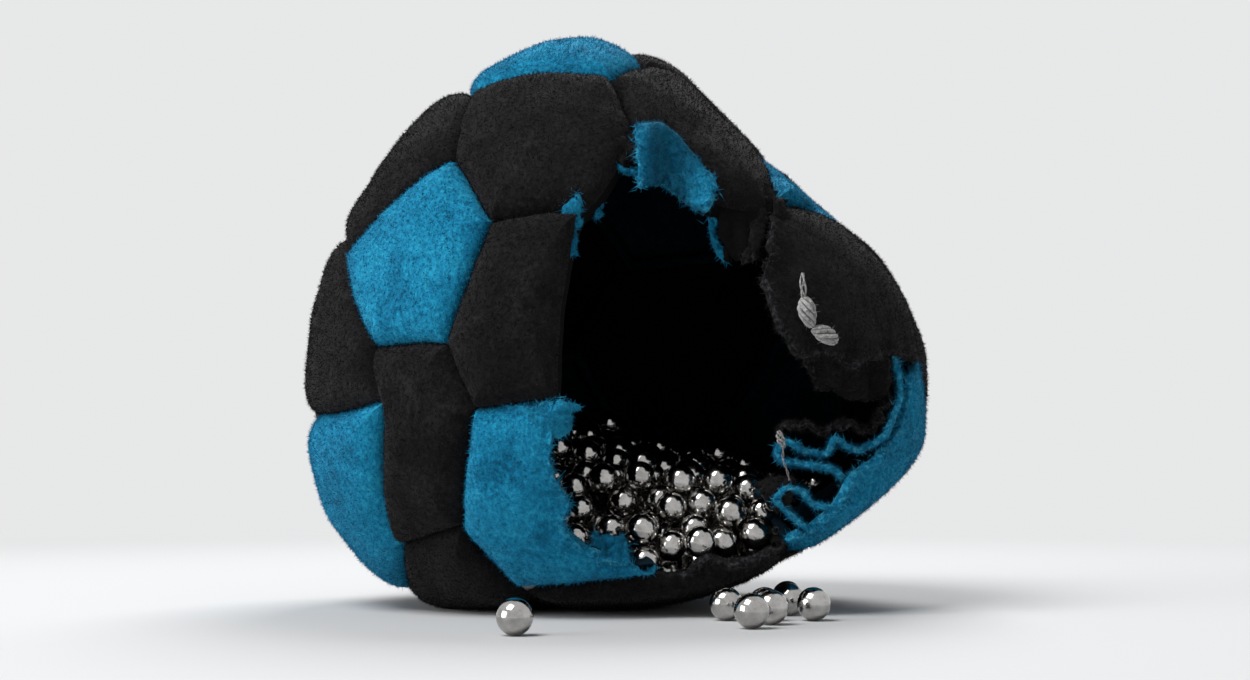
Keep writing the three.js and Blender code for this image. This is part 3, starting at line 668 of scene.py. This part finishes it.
def face_point(towards, distance, torn, seed):
    """A point of a panel's face, at a distance in from an edge that is more or less torn."""
    depth = rolled_depth(distance, seam_dip(towards) * (1 - torn))
    near = math.exp(-distance / EDGE_REACH)
    uneven = relief(towards, PUCKERS, (seed, 3, 1)) * near
    uneven += relief(towards, DENTS, (seed, 0, 7)) + relief(towards, SMALL_DENTS, (1, seed, 2))
    curl = torn * near * relief(towards, CURL, (seed, 9, 0))
    return bag_point(towards, depth + uneven * (1 - SEAM_CALM * near * (1 - torn)) + curl)


def suede_panel(name, corners, seed):
    """A panel: its crowned face, and the allowance that turns in at its sewn edges."""
    middle, rim = panel_rim(name, corners)
    drawn, tearing = drawn_rim(rim, middle, seed), torn_shares(rim)
    bm = bmesh.new()
    nap = bm.verts.layers.float.new("nap")
    fray = bm.verts.layers.float.new("fray")
    rim_ring, placed = ringed_face(bm, drawn, middle)
    for ring, share in placed:
        for vert, edge, torn in zip(ring, drawn, tearing):
            torn = torn if share else 0.0
            distance = (1 - share) * middle.angle(edge) * HALF_WIDTH
            vert.co = face_point(pulled(vert.co.normalized()), distance, torn, seed)
            vert[nap] = 1.0
            vert[fray] = torn * math.exp(-distance / FRAY_REACH)
    add_allowance(bm, rim_ring, rim, drawn, tearing)
    return bm


def add_panels():
    panels = []
    for name, around in NEIGHBOURS.items():
        panels.append((f"blue_{name}", BLUE, [f"{name}>{other}" for other in around.split()]))
    for name, around in BLACK_PANELS.items():
        a, b, c = around.split()
        corners = [f"{a}>{b}", f"{b}>{a}", f"{b}>{c}", f"{c}>{b}", f"{c}>{a}", f"{a}>{c}"]
        panels.append((f"black_{name}", BLACK, corners))
    for seed, (key, leather, corners) in enumerate(panels, FIRST_PANEL_SEED):
        piece = finished(f"{key}_suede", suede_panel(key, corners, seed), leather, "bag", [key])


add_panels()


# Scraps: torn tongues, folds and strips, each a sheet through rows of points
def through(points, share):
    """A point on the smooth curve through points."""
    last = len(points) - 1
    place = min(max(share, 0.0), 1.0) * last
    index = min(int(place), last - 1)
    t = place - index
    a, b, c, d = (points[min(max(index + step, 0), last)] for step in (-1, 0, 1, 2))
    bend, twist = 2 * a - 5 * b + 4 * c - d, 3 * b - a - 3 * c + d
    return 0.5 * ((2 * b) + (c - a) * t + bend * t * t + twist * t ** 3)


# Relief of a scrap: heights, and frequencies per metre of its grain and of its ragged edges
SCRAP_ROUGHNESS, SCRAP_GRAIN = 0.16 * MM, 1300
END_GRAIN, SIDE_GRAIN = 2600, 2200
# Shares of a scrap's width at a torn side: its frayed band, and the lit band left out of the painted shade
FRAYED_WIDTH, LIT_WIDTH = 0.15, 0.3
SLOPE_STEP = 0.02


def on_sheet(rows, across, down):
    """A point on the smooth sheet through rows, at its shares of the way across and down."""
    return through([through(row, across) for row in rows], down)


def near_torn_side(torn_sides, across, down, width):
    """1 on a torn side and 0 at a width from it; the sides are left, right, first row, last row."""
    places = (1 - across, across, 1 - down, down)
    return max(max(0.0, (torn * place - 1 + width) / width) for torn, place in zip(torn_sides, places))


def scrap(name, material, rows, steps, body="bag", skin=0.75 * MM, nodes=(), wave=0.0, wave_turns=20,
          ragged=0.3 * MM, torn_sides=(0, 0, 1, 1), painted_shade_depth=0.3, seed=1):
    """A strip of leather through rows of points in mm; steps across and down, wave in mm."""
    rows = [[Vector(point) * MM for point in row] for row in rows]
    bm = bmesh.new()
    bmesh.ops.create_grid(bm, x_segments=steps[0], y_segments=steps[1], size=0.5)
    nap = bm.verts.layers.float.new("nap")
    fray = bm.verts.layers.float.new("fray")
    painted_shade = bm.verts.layers.float.new("painted_shade")
    for vert in bm.verts:
        across, down = vert.co.x + 0.5, vert.co.y + 0.5
        here = on_sheet(rows, across, down)
        aside = on_sheet(rows, across + SLOPE_STEP, down) - on_sheet(rows, across - SLOPE_STEP, down)
        below = on_sheet(rows, across, down + SLOPE_STEP) - on_sheet(rows, across, down - SLOPE_STEP)
        normal = aside.cross(below).normalized()
        here += normal * wave * MM * noise.noise(Vector((across * wave_turns, down * 3, seed))) * (0.3 + down)
        here += normal * SCRAP_ROUGHNESS * noise.noise(here * SCRAP_GRAIN + Vector((0, seed, 0)))
        here += below.normalized() * ragged * down ** 3 * noise.noise(here * END_GRAIN + Vector((seed, 0, 0)))
        here += aside.normalized() * ragged * abs(2 * across - 1) ** 6 * noise.noise(here * SIDE_GRAIN)
        vert.co = here
        vert[nap] = 1.0
        vert[fray] = near_torn_side(torn_sides, across, down, FRAYED_WIDTH)
        # Painted shade: none in the lit band at a torn side, deepening further in
        vert[painted_shade] = painted_shade_depth * (1 - near_torn_side(torn_sides, across, down, LIT_WIDTH))
    bmesh.ops.recalc_face_normals(bm, faces=bm.faces[:])
    piece = finished(name, bm, material, body, nodes, skin=skin, inner_side=False)
    piece.modifiers["wall"].offset = 0
    return piece


def add_tongue():
    rows = [
        [(2.2, -18.2, 34.6), (3.0, -18.0, 34.2), (4.2, -18.0, 33.4), (5.6, -18.0, 32.4), (7.0, -18.0, 31.4)],
        [(1.9, -19.0, 36.4), (2.8, -19.0, 36.4), (4.2, -19.0, 35.6), (5.8, -19.1, 33.9), (7.4, -19.2, 32.2)],
        [(1.8, -20.2, 37.6), (2.9, -20.4, 37.9), (4.4, -20.3, 37.2), (6.0, -20.5, 35.3), (7.5, -20.9, 33.3)],
        [(1.7, -21.6, 36.6), (2.7, -21.3, 36.9), (4.4, -20.5, 36.1), (6.0, -20.8, 34.3), (7.7, -21.7, 32.6)],
        [(1.8, -22.0, 34.8), (2.7, -21.6, 34.9), (4.2, -20.4, 34.4), (5.8, -20.6, 32.9), (7.5, -21.8, 31.9)],
        [(2.0, -22.0, 32.6), (2.7, -21.8, 32.9), (4.2, -20.9, 33.2), (5.5, -21.1, 31.8), (7.0, -22.0, 31.0)],
    ]
    tongue = scrap("tongue_suede", BLUE, rows, (44, 34), body=None, nodes=("tongue", "tongue_seam_strip"),
                   wave=0.25, wave_turns=3, ragged=0.45 * MM, torn_sides=(1, 1, 1, 0), painted_shade_depth=0.8,
                   seed=4)
    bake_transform(tongue)


# The blue frill spreads beyond these places, in mm, the further back the more: back, spread
FRILL_X, FRILL_Z = 17.5, 12
FRILL_ROWS = [(6.5, 0.10), (3.6, 0.05), (1.4, 0.0), (0.0, 0.0)]
FRILL_LEAN, STRIP_LEAN = 0.12, 0.10


def add_frills():
    """Torn leather at the lower right: a blue ribbon in two loops, and a black one above it."""
    blue_edge = [(22.4, -14.5, 20.9), (22.9, -14.6, 18.5), (22.7, -15, 16.6), (21.5, -16, 14.4),
                 (19.8, -16.5, 13.0), (18.3, -17, 13.1), (17.3, -17.5, 13.7), (16.3, -18, 12.5),
                 (14.7, -18.5, 12.5), (13.4, -19, 13.3), (12.5, -19.2, 12.8), (13.5, -19.2, 11.9),
                 (16.3, -18.5, 11.6), (17.5, -18, 10.8), (17.9, -18, 9.7), (17.3, -18.3, 8.5),
                 (15.3, -18.8, 8.6), (14.3, -19.2, 9.7), (12.7, -19.5, 9.6), (12.4, -19.6, 8.9),
                 (13.4, -19.5, 8.0), (14.5, -19.2, 7.0), (15.4, -18.8, 6.3)]
    rows = []
    for back, spread in FRILL_ROWS:
        rows.append([(x + max(x - FRILL_X, 0) * spread + back * FRILL_LEAN, y + back,
                      z + max(z - FRILL_Z, 0) * spread) for x, y, z in blue_edge])
    scrap("torn_blue_fold", BLUE, rows, (170, 12), skin=0.5 * MM, wave=0.30, wave_turns=22,
          ragged=0.55 * MM, painted_shade_depth=0.7, seed=6)
    black_edge = [(22.2, -14.4, 18.4), (21.7, -15, 16.6), (21.0, -15.7, 15.2), (19.8, -16, 14.3),
                  (18.1, -16.5, 14.8), (16.6, -17, 14.1), (15.2, -17.7, 14.4), (13.6, -18.2, 14.6),
                  (12.5, -18.6, 13.9)]
    rows = [[(x + back * STRIP_LEAN, y + back, z + back * STRIP_LEAN) for x, y, z in black_edge]
            for back in (6, 3, 0)]
    scrap("torn_black_strip", BLACK, rows, (80, 12), skin=0.35 * MM, nodes=("black_torn_strip",),
          wave=0.7, wave_turns=15, ragged=0.7 * MM, seed=9)


FIRST_BIT_SEED = 30
# Small torn pieces: name, leather, rows of points in mm, steps across and down
TORN_BITS = [
    ("torn_curl_black", BLACK, [
        [(-0.8, -18.9, 37.8), (0.4, -18.9, 37.6), (1.7, -19.2, 37.0)],
        [(-0.6, -20.0, 36.7), (0.6, -20.3, 36.4), (1.8, -20.2, 36.0)],
        [(-0.7, -20.8, 35.2), (0.7, -20.9, 34.7), (1.9, -20.6, 34.8)]], (18, 18)),
    ("torn_curl_blue", BLUE, [
        [(0.4, -20.3, 35.0), (1.2, -20.2, 34.7), (2.0, -20.2, 34.4)],
        [(0.2, -20.8, 34.4), (1.2, -20.9, 34.0), (2.1, -20.7, 33.7)]], (18, 6)),
    ("torn_leaf_upper", BLUE, [
        [(-3.7, -22.1, 32.0), (-3.8, -22.3, 30.2), (-3.5, -22.5, 27.6)],
        [(-3.1, -22.5, 32.1), (-3.2, -22.7, 30.2), (-3.3, -22.8, 27.4)],
        [(-2.5, -22.4, 31.7), (-2.7, -22.6, 30.0), (-3.1, -22.9, 27.3)]], (22, 10)),
    ("torn_leaf_small", BLUE, [
        [(-1.7, -20.4, 32.2), (-1.6, -20.4, 31.5), (-1.5, -20.5, 30.8)],
        [(-1.1, -20.2, 32.0), (-1.1, -20.3, 31.3), (-1.3, -20.5, 30.6)]], (12, 7)),
    # The hem takes the near-black flesh-side leather: painted shade on a flap that hangs in shadow
    ("torn_hem_black", BLACK_FLESH_PAINTED_SHADE, [
        [(8.2, -18.9, 34.0), (10.4, -18.6, 34.0), (12.6, -17.9, 33.6)],
        [(8.1, -19.6, 31.6), (10.4, -19.7, 31.4), (12.4, -18.9, 31.2)],
        [(8.6, -18.9, 27.8), (10.4, -19.3, 27.5), (12.0, -18.6, 27.7)]], (26, 30)),
    ("torn_allowance_near", BLACK, [
        [(10.9, -19.0, 32.4), (10.6, -19.6, 30.0), (9.9, -19.7, 27.4)],
        [(11.9, -19.2, 32.6), (11.7, -20.0, 30.2), (11.0, -20.1, 27.3)]], (24, 8)),
    ("torn_allowance_far", BLACK, [
        [(12.4, -19.0, 32.4), (12.3, -19.5, 30.0), (12.1, -19.6, 27.2)],
        [(13.3, -19.0, 32.0), (13.2, -19.7, 29.6), (12.9, -19.8, 27.5)]], (24, 8)),
    ("torn_sliver_blue", BLUE, [
        [(7.4, -18.2, 30.9), (7.8, -18.2, 29.2), (8.4, -18.1, 27.8)],
        [(7.7, -18.6, 30.8), (8.1, -18.6, 29.1), (8.8, -18.5, 27.7)]], (20, 5)),
    ("torn_flap_under_right", BLACK, [
        [(14.4, -18.4, 21.2), (18.4, -16.8, 21.2), (22.0, -14.6, 21.0)],
        [(15.0, -18.0, 19.4), (18.6, -16.4, 19.0), (21.9, -14.6, 18.8)],
        [(15.8, -16.6, 18.0), (18.8, -15.2, 16.9), (21.6, -13.8, 17.0)]], (46, 18)),
    ("torn_remnant_black", BLACK, [
        [(11.2, -16.8, 10.0), (12.4, -16.9, 10.4), (13.8, -17.2, 10.2)],
        [(11.3, -17.9, 9.9), (12.4, -18.3, 10.4), (13.6, -18.6, 10.3)],
        [(11.7, -18.8, 8.9), (12.5, -19.1, 8.2), (13.4, -19.2, 8.7)]], (24, 16)),
    ("torn_flap_top_left", BLUE, [
        [(-8.2, -23.4, 14.0), (-8.2, -23.3, 14.9), (-8.1, -23.1, 15.9)],
        [(-6.0, -24.3, 13.2), (-6.0, -24.5, 14.6), (-6.0, -24.2, 15.9)],
        [(-4.4, -24.4, 13.4), (-4.3, -24.9, 14.8), (-4.0, -24.4, 16.2)],
        [(-3.6, -23.9, 14.5), (-3.2, -24.4, 15.1), (-2.8, -24.0, 15.8)]], (14, 24)),
    ("torn_flap_low_left", BLUE, [
        [(-2.0, -22.0, 4.3), (-0.6, -22.0, 4.2), (1.0, -21.6, 3.9)],
        [(-1.8, -21.3, 5.4), (-0.4, -21.4, 5.2), (0.9, -21.1, 5.0)],
        [(-1.5, -20.9, 6.4), (-0.2, -21.2, 5.9), (0.8, -20.8, 6.2)]], (26, 14)),
]


def add_torn_bits():
    for seed, (name, leather, rows, steps) in enumerate(TORN_BITS, FIRST_BIT_SEED):
        scrap(name, leather, rows, steps, skin=0.55 * MM, wave=0.5, wave_turns=5, ragged=0.6 * MM,
              torn_sides=(1, 1, 1, 0), seed=seed)


add_tongue()
add_frills()
add_torn_bits()


# Shot
def ball(bm, centre, radius, detail):
    """A ball, turned by its place so that no two show the same facets."""
    made = bmesh.ops.create_icosphere(bm, subdivisions=detail, radius=radius)["verts"]
    turn = Matrix.Rotation(centre.x * 900 + centre.z * 500, 3, "X") @ Matrix.Rotation(centre.y * 700, 3, "Z")
    bmesh.ops.rotate(bm, cent=(0, 0, 0), matrix=turn, verts=made)
    bmesh.ops.translate(bm, vec=centre, verts=made)


def node_centre(name):
    low, high = (Vector(each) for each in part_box(name))
    return (low + high) / 2


def add_single_pellets():
    centres = []
    for name in sorted(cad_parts):
        if "pellet" not in name:
            continue
        body = "bag" if name.startswith("heap") else name.replace("loose_pellet", "pellet")
        bm = bmesh.new()
        centre = node_centre(name)
        ball(bm, centre, PELLET_RADIUS, 4)
        finished(f"{name}_steel", bm, STEEL, body, [name], skin=0, smoothing=0)
        if body == "bag":
            centres.append(centre)
    return centres


HEAP_HEIGHT, HEAP_CREST = 14.0 * MM, 4.0 * MM
HEAP_FRONT_HEIGHT, HEAP_FRONT_REACH = 9.5 * MM, 13 * MM
HEAP_SLOPE_BACK, HEAP_SLOPE_SIDE, HEAP_SLOPE_FRONT = 0.2, -0.17, 0.8
# Scatter of the shot in mm, share of the top layer left out, and how the shot is pushed apart
HEAP_SCATTER, TOP_GAPS = 0.45, 0.25
PELLETS_APART, OVERLAP, TOUCHING = 2 * PELLET_RADIUS * 1.01, 1.85 * PELLET_RADIUS, 1e-7
PUSH_ROUNDS, PUSH_SHARE, SINK = 60, 0.8, 0.015 * MM
# Pellets that show at the front of the heap, in mm
FRONT_PELLETS = [
    (4.4, -18.2, 5.4), (8.3, -17.7, 5.6), (10.9, -17.1, 6.3), (2.3, -19.3, 4.2), (2.5, -16.4, 6.8),
    (-3.1, -17.6, 5.9), (-2.8, -14.8, 8.1), (-0.3, -16.6, 6.6), (9.2, -14.6, 8.2), (11.7, -14.6, 7.9),
    (3.6, -13.8, 8.9), (0.6, -14.0, 8.7), (-0.7, 4.6, 15.9), (-4.8, -8.4, 13.2),
]


def heap_surface(x, y):
    """Height of the shot: it slopes down to the mouth, steeply at the front, and is level at the back."""
    back = HEAP_HEIGHT + HEAP_SLOPE_BACK * min(y, HEAP_CREST) + HEAP_SLOPE_SIDE * x
    return min(back, HEAP_FRONT_HEIGHT + HEAP_SLOPE_FRONT * (y + HEAP_FRONT_REACH))


def room_at(point):
    """How far a point lies inside the skin of the bag."""
    from_middle = point - Vector((0, 0, CENTRE_HEIGHT))
    towards = Vector((from_middle.x / HALF_WIDTH, from_middle.y / HALF_DEPTH, from_middle.z / HALF_HEIGHT))
    side = free_surface(towards.normalized()).length - from_middle.length
    return min(side, point.z - underside(point.x, point.y))


def room_needed(point):
    """Shot keeps off the seam allowances, but fills the bag up to the lip at the mouth."""
    at_mouth = point.y < -9 * MM and abs(point.x - 2 * MM) < 11 * MM
    return SKIN + PELLET_RADIUS * 1.05 + (0 if at_mouth else 2.0 * MM)


def behind_frill(point):
    """Where shot would show through the loops of the frill."""
    return point.x > 12.5 * MM and point.y < -2 * MM


def first_spots():
    """Packed layers below the slope, a little scattered and with gaps in the top one."""
    draws = random.Random(5)
    pitch = 2 * PELLET_RADIUS * 1.03
    layer_drop, row_step = pitch * math.sqrt(2 / 3), pitch * math.sqrt(3) / 2
    spots = []
    for layer, row, column in product(range(3), range(-10, 11), range(-11, 12)):
        x = (column + (row % 2) / 2 + (layer % 2) / 2) * pitch
        y = (row + (layer % 2) / 3) * row_step
        spot = Vector((x, y, heap_surface(x, y) - layer * layer_drop))
        spot += Vector([draws.uniform(-HEAP_SCATTER, HEAP_SCATTER) * MM for _ in range(3)])
        if layer == 0 and draws.random() < TOP_GAPS:
            continue
        if room_at(spot) > room_needed(spot) and not behind_frill(spot):
            spots.append(spot)
    return spots


def tree_of(points):
    tree = kdtree.KDTree(len(points))
    for index, point in enumerate(points):
        tree.insert(point, index)
    tree.balance()
    return tree


def push_apart(points, fixed):
    """Pellets push each other off, keep their room in the bag and sink a little."""
    tree = tree_of(points + fixed)
    for index in range(len(points)):
        push = Vector()
        for other, other_index, distance in tree.find_range(points[index], PELLETS_APART):
            if other_index != index and distance > TOUCHING:
                share = 0.5 if other_index < len(points) else 1.0
                push += (points[index] - other) / distance * (PELLETS_APART - distance) * share
        points[index] = points[index] + push * PUSH_SHARE
        room, needed = room_at(points[index]), room_needed(points[index])
        if room < needed:
            inward = Vector((0, 0, CENTRE_HEIGHT)) - points[index]
            points[index] += inward.normalized() * (needed - room)
        points[index].z -= SINK


def heap_centres(fixed):
    """Loose shot below the slope, pushed apart, without the few that still overlap others."""
    points = first_spots()
    for _ in range(PUSH_ROUNDS):
        push_apart(points, fixed)
    tree = tree_of(points + fixed)
    kept = []
    for index, point in enumerate(points):
        others = [other for _, other, _ in tree.find_range(point, OVERLAP)]
        if not any(other < index or other >= len(points) for other in others):
            kept.append(point)
    return kept


def shot_tree():
    """A ball of shot, turned at random, at every point of a mesh."""
    tree, start, end = geometry_group("shot")
    pellet = add_node(tree, "GeometryNodeMeshIcoSphere", Radius=PELLET_RADIUS, Subdivisions=3)
    turn = chance(tree, (0, 0, 0), (6.2, 6.2, 6.2), 0, "FLOAT_VECTOR")
    shot = planted(tree, start.outputs[0], pellet.outputs["Mesh"], Rotation=turn)
    dress(tree, shot, STEEL, end)
    return tree


def add_heap(fixed):
    bm = bmesh.new()
    front = [Vector(place) * MM for place in FRONT_PELLETS]
    for centre in front + heap_centres(fixed + front):
        bm.verts.new(centre)
    heap = finished("heap_of_shot", bm, STEEL, "bag", ["shot_heap"], skin=0, smoothing=0)
    heap.modifiers.new("shot", "NODES").node_group = shot_tree()


add_heap(add_single_pellets())


# Thread
STRAND_STEPS, STRAND_SIDES = 22, 7
# A ply's place and radius, as shares of its strand's radius
PLY_PLACE, PLY_RADIUS = 0.68, 0.30
# A thin end and two frayed tufts on the right front panel, and a tuft and a thread at the
# frill: places in mm, radii along them in mm, turns, plies
STRANDS = [
    ([(14.2, -22.9, 26.0), (14.2, -23.0, 25.0), (14.3, -22.9, 24.1)], [0.14, 0.30, 0.22], 0.5, 3),
    ([(14.3, -22.9, 24.1), (14.5, -23.1, 23.0), (14.9, -22.6, 21.9)], [0.34, 0.74, 0.66, 0.26], 0.6, 7),
    ([(14.9, -22.6, 21.8), (16.0, -22.6, 21.3), (16.7, -22.0, 20.9)], [0.26, 0.68, 0.66, 0.40], 0.6, 7),
    ([(12.6, -19.7, 14.2), (12.7, -19.9, 13.6), (13.0, -19.9, 12.9)], [0.16, 0.36, 0.14], 0.8, 4),
    ([(12.9, -19.9, 13.0), (12.9, -19.9, 12.0), (13.2, -19.7, 11.2), (13.4, -19.6, 10.4)],
     [0.12, 0.10, 0.10, 0.08], 2.0, 2),
]


def add_ply(bm, points, radii, turns, start):
    """One ply of a strand, closed at both ends; start is its share of a turn at the first end."""
    edges_before = None
    for step in range(STRAND_STEPS + 1):
        share = step / STRAND_STEPS
        here = through(points, share)
        ahead = (through(points, share + SLOPE_STEP) - through(points, share - SLOPE_STEP)).normalized()
        side = ahead.cross(Vector((0, 1, 0))).normalized()
        lift = side.cross(ahead)
        radius = through([Vector((each, 0, 0)) for each in radii], share).x * MM
        angle = 2 * math.pi * (share * turns + start)
        centre = here + (side * math.cos(angle) + lift * math.sin(angle)) * radius * PLY_PLACE
        loop = bmesh.ops.create_circle(bm, segments=STRAND_SIDES, radius=radius * PLY_RADIUS)["verts"]
        turn = ahead.to_track_quat("Z", "Y").to_matrix().to_4x4()
        bmesh.ops.transform(bm, matrix=Matrix.Translation(centre) @ turn, verts=loop)
        edges = list(dict.fromkeys(edge for vert in loop for edge in vert.link_edges))
        if edges_before:
            bmesh.ops.bridge_loops(bm, edges=edges_before + edges)
        else:
            bmesh.ops.contextual_create(bm, geom=edges)
        edges_before = edges
    bmesh.ops.contextual_create(bm, geom=edges_before)


def add_thread_end():
    """Floss in plies that wind round each other and draw in at the ends."""
    bm = bmesh.new()
    for places, radii, turns, plies in STRANDS:
        points = [Vector(place) * MM for place in places]
        for number in range(plies):
            add_ply(bm, points, radii, turns, number / plies)
    bmesh.ops.recalc_face_normals(bm, faces=bm.faces[:])
    nap = bm.verts.layers.float.new("nap")
    for vert in bm.verts:
        vert[nap] = 1.0
    finished("frayed_thread_end", bm, THREAD, "bag", ["loose_thread_end"], skin=0)


def cord_tree(radius):
    """A round cord along every edge of a mesh."""
    tree, start, end = geometry_group("cord")
    line = add_node(tree, "GeometryNodeMeshToCurve", Mesh=start.outputs[0]).outputs["Curve"]
    circle = add_node(tree, "GeometryNodeCurvePrimitiveCircle", Resolution=6, Radius=radius)
    swept = add_node(tree, "GeometryNodeCurveToMesh", Curve=line, Profile_Curve=circle.outputs["Curve"])
    dress(tree, swept.outputs["Mesh"], SEAM_THREAD_PAINTED_DARK, end)
    return tree


CORD_RADIUS, CORD_DEPTH = 0.30 * MM, 0.45 * MM
KNOT_RADIUS, KNOT_DEPTH = 0.45 * MM, 0.75 * MM


def add_seam_thread():
    """The thread deep in every seam that is still sewn, with a knot where seams meet."""
    bm = bmesh.new()
    knots = {}
    for pairs in seam_ends.values():
        if len(pairs) < 2:
            continue
        here, there = pairs[0]
        steps = max(2, round(here.angle(there) * HALF_WIDTH / MM))
        places = [pulled(between(here, there, step / steps)) for step in range(steps + 1)]
        line = [bm.verts.new(bag_point(place, SEAM_DIP + CORD_DEPTH)) for place in places]
        for first, second in zip(line, line[1:]):
            bm.edges.new((first, second))
        for end in (here, there):
            knots.setdefault(str([round(value, 3) for value in end]), []).append(end)
    for meeting in knots.values():
        if len(meeting) < 3:
            continue
        made = bmesh.ops.create_icosphere(bm, subdivisions=1, radius=KNOT_RADIUS)["verts"]
        bmesh.ops.translate(bm, vec=bag_point(pulled(meeting[0]), SEAM_DIP + KNOT_DEPTH), verts=made)
    thread = finished("sewn_thread", bm, SEAM_THREAD_PAINTED_DARK, "bag", ["seam_thread"], skin=0, smoothing=0)
    thread.modifiers.new("cord", "NODES").node_group = cord_tree(CORD_RADIUS)


add_thread_end()
add_seam_thread()


# Stage: pale floor, pale surroundings and soft lamps
PALE = (0.80, 0.805, 0.81, 1)
FLOOR_PALE = (0.61, 0.615, 0.62, 1)
# Where the floor begins and ends to fade, from the middle in metres
FADE_START, FADE_END = 0.07, 0.30
WORLD_LIGHT, WORLD_STRENGTH = (0.95, 0.97, 1.0, 1), 0.19
LAMPS_AIM = Vector((0, 0, 0.022))
# Lamps: name, place and size in metres, power in watts
LAMPS = [
    ("key_lamp", (-0.18, -0.18, 0.385), 0.24, 1.65),
    ("fill_lamp", (-0.37, -0.17, 0.08), 0.24, 0.88),
    ("rim_lamp", (0.05, 0.24, 0.36), 0.20, 1.4),
]


def seen_directly(tree):
    """1 for rays from the camera, off metal or through glass."""
    path = tree.nodes.new("ShaderNodeLightPath").outputs
    seen = maths(tree, "MAXIMUM", path["Is Camera Ray"], path["Is Glossy Ray"])
    return maths(tree, "MAXIMUM", seen, path["Is Transmission Ray"])


def mix_shaders(tree, share, first, second, end):
    mix = tree.nodes.new("ShaderNodeMixShader")
    for socket, value in zip(mix.inputs, (share, first, second)):
        tree.links.new(value, socket)
    tree.links.new(mix.outputs[0], end)


def pale_floor():
    """Pale floor that keeps the object's shadow near it and fades into the surroundings far off."""
    material, tree, shader = new_material("pale_floor", Base_Color=FLOOR_PALE, Roughness=0.8,
                                          Specular_IOR_Level=0.1)
    far = add_node(tree, "ShaderNodeVectorMath", operation="LENGTH")
    tree.links.new(add_node(tree, "ShaderNodeTexCoord").outputs["Object"], far.inputs[0])
    fade = mapped(tree, far.outputs["Value"], interpolation_type="SMOOTHSTEP", From_Min=FADE_START,
                  From_Max=FADE_END)
    share = maths(tree, "MULTIPLY", fade, seen_directly(tree))
    glow = add_node(tree, "ShaderNodeEmission", Color=PALE)
    surface = tree.nodes["Material Output"].inputs["Surface"]
    mix_shaders(tree, share, shader.outputs[0], glow.outputs[0], surface)
    return material


def add_floor():
    bm = bmesh.new()
    bmesh.ops.create_grid(bm, x_segments=2, y_segments=2, size=6)
    floor = mesh_object("floor", bm)
    floor.data.materials.append(pale_floor())


def add_world():
    """Surroundings that look pale and give the object a weak even light."""
    world = bpy.context.scene.world or bpy.data.worlds.new("world")
    bpy.context.scene.world = world
    world.use_nodes = True
    tree = world.node_tree
    tree.nodes.clear()
    lit = add_node(tree, "ShaderNodeBackground", Color=WORLD_LIGHT, Strength=WORLD_STRENGTH)
    seen = add_node(tree, "ShaderNodeBackground", Color=PALE)
    out = tree.nodes.new("ShaderNodeOutputWorld").inputs[0]
    mix_shaders(tree, seen_directly(tree), lit.outputs[0], seen.outputs[0], out)


def add_lamps():
    for name, place, size, power in LAMPS:
        data = bpy.data.lights.new(name, "AREA")
        data.shape = "SQUARE"
        data.size = size
        data.energy = power
        lamp = new_object(name, data)
        lamp.location = place
        lamp.rotation_euler = (LAMPS_AIM - Vector(place)).to_track_quat("-Z", "Y").to_euler()


add_floor()
add_world()
add_lamps()
grow_nap()
bpy.context.scene.view_settings.view_transform = "Standard"
